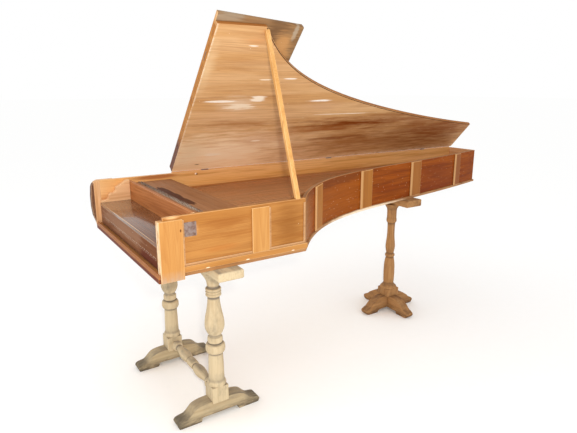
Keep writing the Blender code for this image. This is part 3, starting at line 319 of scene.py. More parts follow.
# Years of light and damp on the lid's inner face: dark runs and scraped streaks. The pale haze over its lower
# part, by the hinge, is painted light, and the dark patch toward its tail is painted shade
LID_MARKS_AND_PAINTED_LIGHT = patches(0.0, 0.2, 1.1, (
    # Painted light: the lid's lower part, by the hinge, made paler
    ("#FFE0B6", (0.62, 0.07), (0.85, 0.34), 1.0, 0.6),
    ("#A0622C", (1.45, 0.14), (0.55, 0.16), 0.75, 0.9),
    ("#8E5420", (1.7, 0.34), (0.4, 0.08), 0.6, 0.9),
    # Painted light: more paleness low on the lid
    ("#FFEACA", (0.6, 0.12), (0.42, 0.16), 0.95, 0.9),
    ("#E6BC92", (0.55, 0.38), (0.3, 0.06), 0.5, 0.9),
    ("#A2621F", (0.62, 0.325), (0.4, 0.04), 0.6, 1.0),
    ("#7E3A00", (1.4, 0.292), (0.58, 0.064), 1.0, 0.9),
    ("#99541C", (1.15, 0.262), (0.34, 0.034), 0.7, 1.0),
    ("#85461A", (1.36, 0.178), (0.34, 0.02), 0.8, 1.0),
    ("#B06E34", (0.95, 0.245), (0.34, 0.016), 0.5, 0.9),
    ("#B8824A", (0.7, 0.56), (0.4, 0.018), 0.4, 0.9),
    ("#B98048", (0.62, 0.7), (0.26, 0.014), 0.35, 0.9),
    # Painted shade: the lid made darker toward its tail
    ("#84420C", (2.12, 0.2), (0.8, 0.32), 0.95, 0.6),
    ("#A87248", (1.85, 0.29), (0.34, 0.04), 0.5, 0.9),
    ("#E0B892", (0.8, 0.205), (0.19, 0.07), 0.8, 0.7),
    ("#D2A680", (1.09, 0.425), (0.16, 0.05), 0.75, 0.7),
    ("#EBCB9E", (0.385, 0.66), (0.045, 0.19), 0.7, 0.7),
    ("#EBD2AC", (0.44, 0.17), (0.11, 0.12), 0.65, 0.9),
    ("#EBD2B4", (0.6, 0.455), (0.17, 0.07), 0.7, 0.9),
    ("#D98F4A", (0.56, 0.8), (0.12, 0.03), 0.35, 0.8),
)) + patches(0.0, 0.2, 0.55, (
    ("#FFF7EA", (0.5, 0.47), (0.095, 0.0085), 1.0, 0.9),
    ("#FFF3DF", (0.69, 0.484), (0.05, 0.018), 0.95, 1.1),
    ("#FBEBD2", (0.62, 0.436), (0.1, 0.016), 0.8, 1.3),
    ("#FFF6E8", (0.56, 0.772), (0.03, 0.005), 0.85, 0.6),
    ("#FBEBD2", (0.684, 0.597), (0.04, 0.005), 0.85, 0.6),
    ("#FFF6E8", (0.815, 0.604), (0.045, 0.006), 0.9, 0.6),
    ("#FFF9F0", (1.045, 0.466), (0.085, 0.0085), 1.0, 0.9),
    ("#F8E8D2", (1.28, 0.368), (0.26, 0.0045), 0.8, 1.1),
    ("#FFF1DC", (0.779, 0.197), (0.03, 0.006), 0.9, 1.0),
    ("#FFF1DC", (0.56, 0.11), (0.05, 0.012), 0.7, 1.5),
    ("#5A3218", (0.495, 0.046), (0.018, 0.004), 0.8, 0.5),
)) + [
    ("#FBEBD2", rub_and_painted_light, "X", 0.381, 0.374, 0.5, 1.0),
    ("#F6DDB8", rub_and_painted_light, "Y", 0.045, 0.0, 0.7, 0.9),
    ("#FFF3E0", specks, 48.0, 1.8, 0.7),
]

# The lid's front ends: oiled wood, blackened by hands near the hinges
LID_END_MARKS = (
    ("#5E3A38", rub_and_painted_light, "Y", 0.24, 0.17, 0.9, 0.2),
    ("#E6C294", rub_and_painted_light, "Y", 0.845, 0.868, 0.6, 0.3),
)

# The cheek's panels: brown clouds in the varnish, a bright rim by the front stile, a few knocks
CHEEK_MARKS = patches(0.85, 0.3, 0.9, (
    ("#96581E", (0.25, 0.165), (0.15, 0.03), 0.6, 1.2),
    ("#96581E", (0.28, 0.12), (0.16, 0.016), 0.5, 1.2),
    ("#B06A2C", (0.22, 0.075), (0.1, 0.014), 0.5, 0.9),
    ("#80480C", (0.505, 0.112), (0.11, 0.12), 0.65, 0.6),
    ("#E6B98C", (0.115, 0.16), (0.035, 0.036), 0.7, 0.4),
    ("#F0C690", (0.052, 0.209), (0.034, 0.009), 0.9, 0.3),
)) + [
    ("#FBEBD2", rub_and_painted_light, "X", 0.596, 0.606, 0.9, 1.0),
    ("#F4DDBE", specks, 75.0, 1.6, 0.7),
]

# Paler toward the front end as painted light and darker toward the tail as painted shade, where the light falls
# off; old worm holes filled with pale dust
BENTSIDE_MARKS_AND_PAINTED_FALLOFF = (
    # Painted light: the front end made paler
    ("#A87844", rub_and_painted_light, "X", 0.24, 0.04, 0.8, 0.3),
    ("#9A5414", mark, (0.52, 0.1, 0.0), (0.42, 0.3, 0.3), 0.5, 0.8),
    ("#5E2A0C", mark, (0.5, 0.2, 0.0), (0.5, 0.035, 0.3), 0.5, 1.0),
    # Painted shade: darker toward the tail
    ("#6E2A0E", mark, (1.55, 0.07, 0.0), (0.5, 0.1, 0.3), 0.4, 0.8),
    ("#3E1806", specks, 11.0, 1.2, 0.6),
    ("#F6D9AE", specks, 17.0, 1.6, 0.9),
)

# The treble front stile: one knot, a grey worn foot and a pale front arris that is a painted highlight
STILE_MARKS_AND_HIGHLIGHT = (
    ("#5E3216", mark, (0.164, 0.86, 0.075), (0.007, 0.03, 0.0035), 0.95, 0.3),
    ("#B49C86", rub_and_painted_light, "X", 0.03, -0.006, 0.75, 0.6),
    # Painted highlight along the front arris
    ("#FBE3C0", rub_and_painted_light, "Z", 0.0035, 0.0005, 0.7, 0.9),
)

# The bass front stile: its cut front face is darkened as painted shade, its foot grey and worn
BASS_STILE_MARKS_AND_SHADE = (
    ("#B49C86", rub_and_painted_light, "X", 0.03, -0.006, 0.6, 0.6),
    # Painted shade on the cut front face
    ("#5A3422", rub_and_painted_light, "Z", -0.0055, -0.008, 0.95, 0.15),
)

# The front moulding: its upper half is rubbed bare, its lower half keeps the stain
MOULDING_MARKS = (
    ("#A8703E", rub_and_painted_light, "Z", 0.004, 0.008, 0.9, 0.25),
)

# The cheek's lower rail: knocked white in places
RAIL_MARKS = tuple(
    ("#FFF3DC", mark, (y, 0.014, 0.85), (0.01, 0.0035, 0.3), 0.9, 0.4)
    for y in (0.328, 0.526, 0.17)
)

# The curved side's uprights: the arris nearer the player is rubbed pale, and the rear ones are browner as painted
# shade where the light falls off toward the tail
UPRIGHT_FRONTS = [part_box(f"bentside_stile_{number}")[0].y - CASE.y for number in (1, 2, 3, 4)]
UPRIGHT_MARKS_AND_SHADE = [
    row
    for front, brown in zip(UPRIGHT_FRONTS, (0.0, 0.1, 0.35, 0.75))
    for row in (
        # Painted shade: browner the farther the upright stands toward the tail
        ("#84461A", mark, (0.1, 0.4, front + 0.045), (3.0, 3.0, 0.075), brown, 0.1, 0.3),
        ("#D8A870", mark, (0.1, 0.4, front + 0.004), (3.0, 3.0, 0.015), 0.6, 0.15, 0.3),
    )
]

# The bottom board: its sawn edge is bare and bright under the middle of the curved side
BOTTOM_MARKS = (
    ("#F4E2C6", mark, (1.15, 0.004, 0.3), (0.55, 0.012, 0.4), 0.9, 0.3),
)

# The spine's inside: browner above the wrestplank, an old nail with a pale ring
SPINE_MARKS = (
    ("#A66230", mark, (0.29, 0.202, 0.0), (0.135, 0.016, 0.3), 0.9, 0.15),
    ("#FBEADB", mark, (0.492, 0.199, 0.0), (0.007, 0.0055, 0.3), 0.95, 0.2),
    ("#4A2418", mark, (0.498, 0.196, 0.0), (0.006, 0.005, 0.3), 0.95, 0.2),
    ("#E2B684", rub_and_painted_light, "X", 0.1, 0.02, 0.5, 0.4),
    ("#A86A38", rub_and_painted_light, "Y", 0.15, 0.128, 0.55, 0.3),
)

# The wrestplank: a grey line of dust and chipped plaster by the pins, and a dark patch behind them that is painted
# shade
PLANK_DUST_AND_SHADE = patches(0.185, 0.1, 0.55, (
    ("#B09E8E", (0.4, 0.2), (0.4, 0.01), 0.8, 1.0),
    ("#D2C6B8", (0.5, 0.202), (0.26, 0.007), 0.75, 1.1),
)) + [
    ("#A88060", settled_dust, 0.25),
    # Painted shade: the dark patch behind the pins
    *(
        ("#4E2814", mark, (x, 0.231, 0.185), (0.095, 0.023, 0.1), 0.95, 0.55, 0.2)
        for x in (0.285, 0.4, 0.515)
    ),
]

# The cover's top: its bass end is painted paler as a painted reflection of the cheek, and its front arris is
# rubbed to a cream line
COVER_LINE_AND_REFLECTION = (
    # Painted reflection: the bass end made paler
    ("#9E785A", mark, (0.14, 0.08, 0.1135), (0.13, 0.1, 0.1), 0.6, 0.2, 0.3),
    ("#E2BC92", mark, (0.42, 0.01, 0.1138), (0.6, 0.002, 0.002), 0.9, 0.3),
)

# The cover's front: grey dust with pale flecks, its grey haze over the upper part partly painted light, and a
# red-brown patch low at the treble end that is the painted shadow of the treble stile
COVER_DUST_AND_SHADE = (
    # Grey dust, partly painted light where it is hazed
    ("#9A745A", mark, (0.34, 0.01, 0.08), (0.36, 0.2, 0.05), 0.6, 0.9),
    # Painted shadow of the treble stile
    ("#5E2A1A", mark, (0.72, 0.01, 0.035), (0.15, 0.2, 0.028), 0.9, 0.5),
    ("#F0E6D6", fleck_row, 0.058, 15.0, 2.0),
    ("#E0D0BC", fleck_row, 0.051, 19.0, 1.7),
    ("#E8DCCB", specks, 40.0, 2.2, 0.6),
)

# Grey-brown dust that has settled inside the case
BOARD_DUST = (
    ("#A98767", settled_dust, 0.5),
)

# The front leaf's outer face: grey from the weather, hazed and streaked, with a cleaner corner
FLAP_MARKS = patches(0.0, 0.2, 0.55, (
    ("#A69C8C", (0.42, 0.885), (0.08, 0.03), 0.45, 0.9),
    ("#9A7450", (0.56, 0.88), (0.08, 0.04), 0.5, 0.9),
    ("#6A4C34", (0.66, 0.83), (0.08, 0.08), 0.6, 0.9),
    ("#B9AC98", (0.745, 0.835), (0.014, 0.05), 0.6, 0.9),
    ("#CC9860", (0.7, 0.7), (0.07, 0.18), 0.75, 0.7),
)) + [
    ("#E6DAC8", specks, 60.0, 1.8, 0.5),
]

# The stick: a dull mark where it is held
STICK_MARKS = (
    ("#C98F52", mark, (0.45, 0.85, 0.57), (0.09, 0.1, 0.1), 0.4, 0.8),
)

# The trestle's feet: their toes are grey-green and dark with dirt, in front and behind
TOE_MARKS = (
    ("#5A5346", rub_and_painted_light, "X", 0.155, 0.085, 0.85, 0.7),
    ("#5A5346", rub_and_painted_light, "X", 0.375, 0.445, 0.85, 0.7),
)


# Finishes

def painted_floor():
    """Matt white paint: nearly even, with a faint rolled mottle."""
    material, tree = start_finish("matt_white_painted_floor")
    place = add(tree, "TexCoord").outputs["Object"]
    mottle = add(tree, "TexNoise", {"Vector": place, "Scale": 1 / (40 * MM), "Detail": 2.0})
    colour = add(tree, "Mix", {"Factor": mottle, "A": "#FFFFFF", "B": "#FDFDFC"}, data_type="RGBA")
    close_finish(tree, colour, mottle, (0.85, 0.95), mottle, 0.05, Specular_IOR_Level=0.0)
    return material


def board(face, ring_mm, line, rough, marks=(), gleam=0.25, flame=0.6, **even):
    """A planed board from its name and its dark, middle and light tones: grain, then its marks."""
    name, dark, middle, light = face.split()
    material, tree = start_finish(name)
    shift = len(WOOD) * 1.7
    colour, relief, fibre = board_grain(tree, dark, middle, light, ring_mm, line, shift, flame)
    colour = lay_over(tree, colour, [(tone, kind(tree, *values)) for tone, kind, *values in marks])
    close_finish(tree, colour, fibre, rough, relief, 0.12, Specular_IOR_Level=gleam, **even)
    return material


def turned_wood(name, pale, tone, grime_and_shade, foot, marks=()):
    """Turned wood that was never polished: pale on the swells, grey in the hollows with grime and painted shade,
    dark at the toes.
    """
    material, tree = start_finish(name)
    colour, relief, fibre = board_grain(tree, tone, pale, pale, 9.0, 0.2, len(WOOD) * 1.7)
    dirt = streaks(tree, 70.0, 35.0, 0.46, 0.8, 5.0, 4.0, 0.6)
    hollow = add(tree, "Attribute", attribute_name="hollow").outputs["Fac"]
    height = add(tree, "SeparateXYZ", {0: add(tree, "TexCoord").outputs["Object"]}).outputs["Z"]
    low = add(tree, "MapRange", {"Value": height, "From Min": 0.045, "From Max": 0.0, "To Max": 0.85})
    worn = streaks(tree, 40.0, 15.0, 0.3, 0.6, 4.0, 9.0)
    at_floor = add(tree, "Math", {0: low, 1: worn}, operation="MULTIPLY")
    # Grime streaks and dust, and in the hollows grime with painted shade
    layers = [(grime_and_shade, dirt), (grime_and_shade, hollow), (grime_and_shade, settled_dust(tree, 0.95)), (foot, at_floor)]
    layers += [(tone, kind(tree, *values)) for tone, kind, *values in marks]
    colour = lay_over(tree, colour, layers)
    close_finish(tree, colour, fibre, (0.65, 0.85), relief, 0.2, Specular_IOR_Level=0.15)
    return material


def wrought(name, tone, rust_tone, rough, metallic, pit_mm=3.0):
    """Hammered metal gone dull: pitted, with rust or tarnish in the pits."""
    material, tree = start_finish(name)
    place = add(tree, "TexCoord").outputs["Object"]
    pits = add(tree, "TexNoise", {"Vector": place, "Scale": 1 / (pit_mm * MM), "Detail": 5.0})
    cloud = add(tree, "TexNoise", {"Vector": place, "Scale": 1 / (14 * MM), "Detail": 3.0})
    rust = add(tree, "MapRange", {"Value": cloud, "From Min": 0.42, "From Max": 0.65})
    colour = add(tree, "Mix", {"Factor": rust, "A": tone, "B": rust_tone}, data_type="RGBA")
    close_finish(tree, colour, pits, rough, pits, 0.2, Metallic=metallic)
    return material


def woven_cloth(name, tone, shade):
    """Fulled wool on the dampers: matt, with a nap. Threads 0.6 mm apart are drawn at 1.5 mm to show."""
    material, tree = start_finish(name)
    place = tree.nodes["grain"].outputs["Vector"]
    nap = add(tree, "TexNoise", {"Vector": place, "Scale": 1 / (1.5 * MM), "Detail": 3.0})
    colour = add(tree, "Mix", {"Factor": nap, "A": shade, "B": tone}, data_type="RGBA")
    close_finish(tree, colour, nap, (0.85, 0.95), nap, 0.3, Sheen_Weight=0.3)
    return material


# Every board's finish: its name with its dark, middle and light tones, the spacing of its rings in mm, their
# strength, its least and most roughness, its marks, its gleam and the strength of its clouds. Rings 1 to 3 mm
# apart in life are drawn wider apart to show
BOARDS = {
    # Fir, planed and varnished: warm gold with brown clouds and a low even sheen
    "panel": ("varnished_fir_panel #8A5222 #B07636 #BC8444", 4.0, 0.3, (0.45, 0.6), CHEEK_MARKS, 0.2, 0.35),
    # The same fir sawn upright: straight vertical lines, lighter than the panels
    "stile": ("varnished_fir_stile #A66A30 #C08848 #CA9656", 3.5, 0.25, (0.45, 0.6), STILE_MARKS_AND_HIGHLIGHT, 0.2, 0.3),
    # Fir stile at the spine, oiled: pale, with painted shade only on its cut front edge
    "bass_stile": ("oiled_fir_stile #B98350 #DFB080 #E8BE92", 4.5, 0.25, (0.5, 0.65), BASS_STILE_MARKS_AND_SHADE),
    # Fir rail under the panels: as the stiles, knocked at its lower edge
    "low_rail": ("varnished_fir_rail #9A6430 #BC8242 #C69050", 4.0, 0.3, (0.45, 0.6), RAIL_MARKS, 0.2, 0.35),
    # Fruitwood planed to a thin strip and waxed: pinkish, rubbed bare
    "moulding": ("waxed_fruitwood_moulding #94643A #B08050 #BE9064", 5.0, 0.2, (0.5, 0.65)),
    # Fir, planed and oiled: the spine glows orange inside
    "spine": ("oiled_fir_wall #B4742F #DEA45E #E8B274", 8.0, 0.25, (0.5, 0.65), SPINE_MARKS),
    # Walnut, bent and varnished deep: red-brown, nearly no sheen
    "bentside": (
        "varnished_walnut_bentside #5A2204 #8A3E02 #9C4E0A",
        7.0, 0.25, (0.5, 0.65), BENTSIDE_MARKS_AND_PAINTED_FALLOFF, 0.08, 0.5,
    ),
    # Fir uprights on the bentside: brown varnish with a bright arris
    "bent_stile": (
        "varnished_fir_upright #7C4A1E #A2641F #AE7028", 5.0, 0.2, (0.45, 0.6), UPRIGHT_MARKS_AND_SHADE, 0.15, 0.3,
    ),
    # Bare fir bottom: its sawn edge shows as a light line under the case
    "lip": ("bare_sawn_fir_bottom #7E5430 #A67446 #B28252", 6.0, 0.25, (0.55, 0.7), BOTTOM_MARKS),
    # Walnut moulding, stained: dark red-brown under a dull wax
    "rail": ("stained_walnut_moulding #3A1208 #6A2E1A #783A24", 5.0, 0.3, (0.5, 0.65), MOULDING_MARKS, 0.12),
    # Walnut nameboard, varnished: red-brown, faint upright clouds
    "name": ("varnished_walnut_nameboard #7E4018 #B4703E #C4804C", 7.0, 0.25, (0.5, 0.65), (), 0.12),
    # Fir cheek blocks, sawn to a scroll and rubbed: pale and plain
    "key_cheek": ("scroll_sawn_fir_cheek #C48C58 #E8B684 #F0C496", 7.0, 0.2, (0.5, 0.65)),
    # Fir sill, oiled: a brown ledge in front of the cover
    "sill": ("oiled_fir_sill #7A4822 #A46A38 #B47A46", 6.0, 0.25, (0.5, 0.65), (), 0.15),
    # Walnut wrestplank, oiled and dusty, with painted shade behind its pins
    "plank": (
        "oiled_walnut_wrestplank #704426 #96643E #A2704A", 6.0, 0.2, (0.6, 0.75), PLANK_DUST_AND_SHADE, 0.1, 0.4,
    ),
    # Fir left bare inside the case: brown and dusty
    "inside": ("bare_darkened_fir #5E3E26 #8A6040 #9A7250", 7.0, 0.3, (0.6, 0.75), BOARD_DUST, 0.1),
    # Spruce soundboard, planed thin: straight rings, 1 mm apart in life, drawn 9 mm apart to show
    "soundboard": (
        "planed_spruce_soundboard #A06A40 #CA8A5A #D49666", 9.0, 0.2, (0.6, 0.75), BOARD_DUST, 0.08, 0.4,
    ),
    # Walnut cover, French polished: brown, mirrors the cheek beside it; its bass end carries a painted reflection
    # too
    "cover": ("polished_walnut_cover #462412 #744C30 #82583A", 6.0, 0.3, (0.2, 0.3), COVER_LINE_AND_REFLECTION, 0.3),
    # The cover's front, once polished: dust has greyed it, with painted light in its grey haze and a painted
    # shadow at its treble end
    "cover_front": (
        "dusty_walnut_cover_front #58301A #78482A #845434", 6.0, 0.3, (0.7, 0.85), COVER_DUST_AND_SHADE, 0.1,
    ),
    # Fir lid, planed and left bare: light tan, blotched by damp, scraped white in streaks, paler low down as
    # painted light and darker toward the tail as painted shade
    "lid": ("bare_planed_fir_lid #A0693A #D8A870 #E6BC8A", 5.0, 0.2, (0.6, 0.75), LID_MARKS_AND_PAINTED_LIGHT, 0.15, 0.4),
    # Its ends, oiled: orange-brown end grain
    "lid_end": ("oiled_fir_end_grain #945A28 #B47838 #C28846", 3.0, 0.25, (0.5, 0.65), LID_END_MARKS, 0.15),
    # Its curved edge, rasped and stained: dull brown
    "lid_side": ("stained_fir_lid_side #7A4A22 #A0642E #B0743C", 4.0, 0.25, (0.6, 0.75), (), 0.12),
    # A painted shadow line on the underside, along the curved edge
    "lid_line": ("blackened_lid_arris #3E2412 #5A3820 #664228", 4.0, 0.2, (0.6, 0.75), (), 0.12),
    # The lid's outer face, weathered like the leaf folded on it
    "lid_top": ("weathered_fir_lid_top #6A4A2E #94704C #A2805A", 8.0, 0.35, (0.65, 0.8), (), 0.1),
    # The leaf's inner face, planed and left bare like the lid's
    "leaf_inside": ("bare_planed_fir_leaf #A8723E #D0A068 #DCB07C", 6.0, 0.14, (0.6, 0.75), (), 0.15, 0.3),
    # The front leaf's outer face, weathered: grey-brown, no finish left
    "flap": ("weathered_fir_leaf #6A4A2E #98744E #A6845E", 8.0, 0.35, (0.65, 0.8), FLAP_MARKS, 0.1),
    # Spruce stick, planed: straight and pale
    "stick": ("planed_spruce_stick #B87E3C #DFA862 #E8B674", 3.0, 0.3, (0.5, 0.65), STICK_MARKS),
    # Lime levers, planed: pale and close-grained
    "key": ("planed_lime_lever #A8865C #D0B084 #DCC09A", 5.0, 0.2, (0.55, 0.7)),
    # Boxwood key tops, scraped and handled: smooth, yellow-brown
    "natural": ("scraped_boxwood_key_top #A87C40 #CDA364 #D8B278", 3.0, 0.2, (0.28, 0.4), (), 0.4),
    # Ebony sharps, filed and waxed: black with a soft shine
    "sharp": ("waxed_ebony_key_top #0C0908 #1C1613 #26201B", 3.0, 0.3, (0.25, 0.38), (), 0.4),
    # Buff leather on the hammers: soft and matt, pores drawn 2 mm apart
    "leather": ("buff_leather #A88A64 #C8AC84 #D4BA94", 2.0, 0.1, (0.75, 0.9), (), 0.1),
}

# The rubbed edges of those that show one: the finish is worn off there, so they are paler than the face
EDGES = {
    "panel": "rubbed_fir_panel_edge #B98048 #D6A36C",
    "stile": "rubbed_fir_stile_edge #C88E4C #E2BA84",
    "bass_stile": "rubbed_oiled_stile_edge #B98A60 #DDB68A",
    "low_rail": "rubbed_fir_rail_edge #C08A50 #D9B07C",
    "moulding": "bare_fruitwood_edge #AE8054 #D2AC82",
    "spine": "rubbed_fir_wall_edge #D09458 #E8BE8C",
    "bentside": "rubbed_walnut_edge #9A5420 #C88C54",
    "bent_stile": "rubbed_upright_edge #BC8448 #DDB07A",
    "rail": "rubbed_walnut_moulding_edge #7E4426 #A86E48",
    "name": "rubbed_nameboard_edge #A86838 #BE8250",
    "key_cheek": "rubbed_scroll_edge #B07844 #E6C094",
    "sill": "rubbed_sill_edge #A46A38 #CC9460",
    "plank": "rubbed_wrestplank_edge #8E5B36 #B98C62",
    "inside": "bare_darkened_fir_edge #8A6040 #A88460",
    "cover_front": "dusty_cover_edge #8A6850 #B09074",
    "stick": "rubbed_stick_edge #A8743C #F0C68C",
    "key": "planed_lime_edge #C0A078 #E0C8A0",
}

WOOD = {}


def make_finishes():
    """Mix every finish once: boards with their rubbed edges, then cloth, metal and turned wood."""
    for key, values in BOARDS.items():
        polish = {"Coat_Weight": 0.35, "Coat_Roughness": 0.05} if key == "cover" else {}
        finish = [board(*values, **polish)]
        if key in EDGES:
            name, tone, pale = EDGES[key].split()
            finish.append(board(f"{name} {tone} {pale} {pale}", 4.0, 0.15, (0.5, 0.65)))
        WOOD[key] = finish
    # Wool cloth, fulled: matt red
    WOOD["cloth"] = [woven_cloth("fulled_wool_cloth", "#8E2E26", "#5E1C18")]
    # Iron, forged: brown-grey, dull, pitted
    WOOD["iron"] = [
        wrought("forged_iron", "#8C7A74", "#755A50", (0.55, 0.75), 0.3),
        wrought("rubbed_forged_iron", "#A89690", "#7A5A4A", (0.4, 0.6), 0.5),
    ]
    # Iron pins, drawn and filed: grey with a film of rust
    WOOD["pin"] = [wrought("filed_iron_pin", "#958A80", "#6A5444", (0.5, 0.7), 0.6, 2.0)]
    # Brass wire, drawn: tarnished to a dull brown
    WOOD["wire"] = [wrought("drawn_brass_wire", "#9C7446", "#7A5634", (0.45, 0.6), 0.8, 2.0)]
    # Beech, turned and limed: cream with grey grime, and grime with painted shade in its hollows
    WOOD["stand"] = [turned_wood("limed_beech_turning", "#D0BE9C", "#B6A07E", "#7E7466", "#4E4034")]
    # The same beech sawn to a scroll: its toes are dirtier
    WOOD["foot"] = [turned_wood("limed_beech_foot", "#BEAC8A", "#A08A6A", "#7C7264", "#453A30", TOE_MARKS)]
    # Beech, turned and stained: orange-brown, dirtier and darker than the trestle, partly as painted shade where
    # the light falls off toward the tail, and with painted shade in its hollows
    WOOD["pedestal"] = [turned_wood("stained_shaded_beech_turning", "#B08456", "#82542A", "#664A34", "#3A241A")]


# Grain directions

def long_grain(point):
    """Along the case, for its side boards and soundboard."""
    return (point - CASE).yzx


def cross_grain(point):
    """Across the case, for the rails and planks that run from side to side."""
    return point - CASE


def up_grain(point):
    """Up, for stiles; the third coordinate runs along the case."""
    return (point - CASE).zxy


def lid_grain(point):
    """Along the lid; the second coordinate is the reach from its hinge line."""
    place = point - LID_AXIS
    reach = place.x * LID_COS + place.z * LID_SIN
    height = place.z * LID_COS - place.x * LID_SIN
    return point.y - CASE.y, reach, height


def bentside_curve():
    """Read the curved side's outer line back from its two boards, front to back."""
    found = {}
    for node in ("bentside_front", "bentside_rear"):
        for vert in frame["nodes"][node].data.vertices:
            y = round(vert.co.y, 4)
            found[y] = max(found.get(y, -9.0), vert.co.x)
    line = [Vector((x, y)) for y, x in sorted(found.items())]
    outer = [line[0]]
    for point in line[1:]:
        if point.x <= outer[-1].x + 0.0005:
            outer.append(point)
    return outer


CURVE = bentside_curve()
CURVE_RUN = [0.0]
for first, second in zip(CURVE, CURVE[1:]):
    CURVE_RUN.append(CURVE_RUN[-1] + (second - first).length)


def bent_grain(point):
    """Along the curved side; then up, and in from its outer face."""
    at_step = next((i for i, other in enumerate(CURVE[1:]) if other.y >= point.y), len(CURVE) - 2)
    first, second = CURVE[at_step], CURVE[at_step + 1]
    share = (point.y - first.y) / max(second.y - first.y, 1e-6)
    run = CURVE_RUN[at_step] + share * (CURVE_RUN[at_step + 1] - CURVE_RUN[at_step])
    return run, point.z - CASE.z, first.x + share * (second.x - first.x) - point.x


# Making pieces

def place_piece(name, bm, grain, finish, body):
    """Turn a mesh in the frame's own coordinates into a piece with its grain, finish and body."""
    mesh = bpy.data.meshes.new(name)
    bm.to_mesh(mesh)
    bm.free()
    layer = mesh.attributes.new("grain", "FLOAT_VECTOR", "POINT")
    layer.data.foreach_set("vector", [value for vert in mesh.vertices for value in grain(vert.co)])
    for material in finish:
        mesh.materials.append(material)
    mesh.shade_smooth()
    mesh.set_sharp_from_angle(angle=math.radians(SHARP_DEG))
    piece = put_in_scene(name, mesh)
    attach(piece, body)
    return piece


def stand_in(node, suffix, bm, grain, finish):
    """Place the piece that stands for a node: it has the node's body, and the node is hidden."""
    piece = place_piece(f"{node}_{suffix}", bm, grain, finish, BODY_OF[node])
    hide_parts(node)
    return piece


def cad_shape(node):
    """Copy a node's shape with its corners welded and its flat faces whole."""
    bm = bmesh.new()
    bm.from_mesh(frame["nodes"][node].data)
    bmesh.ops.remove_doubles(bm, verts=bm.verts[:], dist=0.00002)
    bmesh.ops.dissolve_limit(bm, angle_limit=math.radians(0.1), verts=bm.verts[:], edges=bm.edges[:])
    bmesh.ops.recalc_face_normals(bm, faces=bm.faces[:])
    return bm


def soften_edges(piece, width_mm, segments=2):
    """Break a piece's sharp edges; its second finish, the rubbed one, shows there if it has one."""
    modifier = piece.modifiers.new("worn edges", "BEVEL")
    modifier.width = width_mm * MM
    modifier.segments = segments
    modifier.limit_method = "ANGLE"
    modifier.angle_limit = math.radians(SHARP_DEG)
    modifier.material = 1 if len(piece.data.materials) > 1 else 0
    modifier.harden_normals = True


def dress(node, finish, grain, edge_mm, suffix="board"):
    """Stand a finished piece in for a node: the same shape, with worn edges and grain."""
    piece = stand_in(node, suffix, cad_shape(node), grain, WOOD[finish])
    if edge_mm:
        soften_edges(piece, edge_mm)


def dress_varnished(node, grain, bare, is_inner):
    """A board of the curved side or the tail: varnished outside, bare fir inside and on the rim."""
    bm = cad_shape(node)
    for face in bm.faces:
        if face.normal.z > 0.9 or is_inner(face):
            face.material_index = 2
    soften_edges(stand_in(node, "board", bm, grain, [*WOOD["bentside"], WOOD[bare][0]]), 1.2)


def ring_round(bm, middle, radius, side, top, sides):
    """A ring of points round a middle, in the plane of two directions."""
    turns = [2 * math.pi * step / sides for step in range(sides)]
    return [bm.verts.new(middle + (side * math.cos(turn) + top * math.sin(turn)) * radius) for turn in turns]


def skin_rings(bm, rings):
    """Skin a run of rings, close both ends and turn the faces outward."""
    faces = [bm.faces.new(rings[0]), bm.faces.new(rings[-1])]
    for first, second in zip(rings, rings[1:]):
        for step in range(len(first)):
            after = (step + 1) % len(first)
            faces.append(bm.faces.new((first[step], first[after], second[after], second[step])))
    bmesh.ops.recalc_face_normals(bm, faces=faces)


def studs(name, places, profile_mm, axis, finish, body="case", sides=10):
    """Small turned heads, all alike: pins, nails and screws, each on its place."""
    bm = bmesh.new()
    side, top, up = (Vector(axis).to_track_quat("Z", "Y").to_matrix() @ way for way in XYZ)
    for place in places:
        rings = []
        for radius, height in profile_mm:
            rings.append(ring_round(bm, place + up * height * MM, radius * MM, side, top, sides))
        skin_rings(bm, rings)
    place_piece(name, bm, cross_grain, WOOD[finish], body)


def wires(name, runs, radius_mm, finish):
    """Thin drawn wires along their runs, five-sided."""
    bm = bmesh.new()
    for run in runs:
        rings = []
        for i, point in enumerate(run):
            ahead = (run[min(i + 1, len(run) - 1)] - run[max(i - 1, 0)]).normalized()
            side = ahead.cross(XYZ[2]).normalized()
            rings.append(ring_round(bm, point, radius_mm * MM, side, side.cross(ahead), 5))
        skin_rings(bm, rings)
    place_piece(name, bm, long_grain, WOOD[finish], "case")


def strip_along_case(name, outline, start_y, end_y, finish, edge_mm=0.0):
    """A planed strip along the case: its outline across, in the case's X and Z."""
    bm = bmesh.new()
    skin_rings(bm, [[bm.verts.new(at(x, y, z)) for x, z in outline] for y in (start_y, end_y)])
    piece = place_piece(name, bm, long_grain, WOOD[finish], "case")
    if edge_mm:
        soften_edges(piece, edge_mm)


# The case

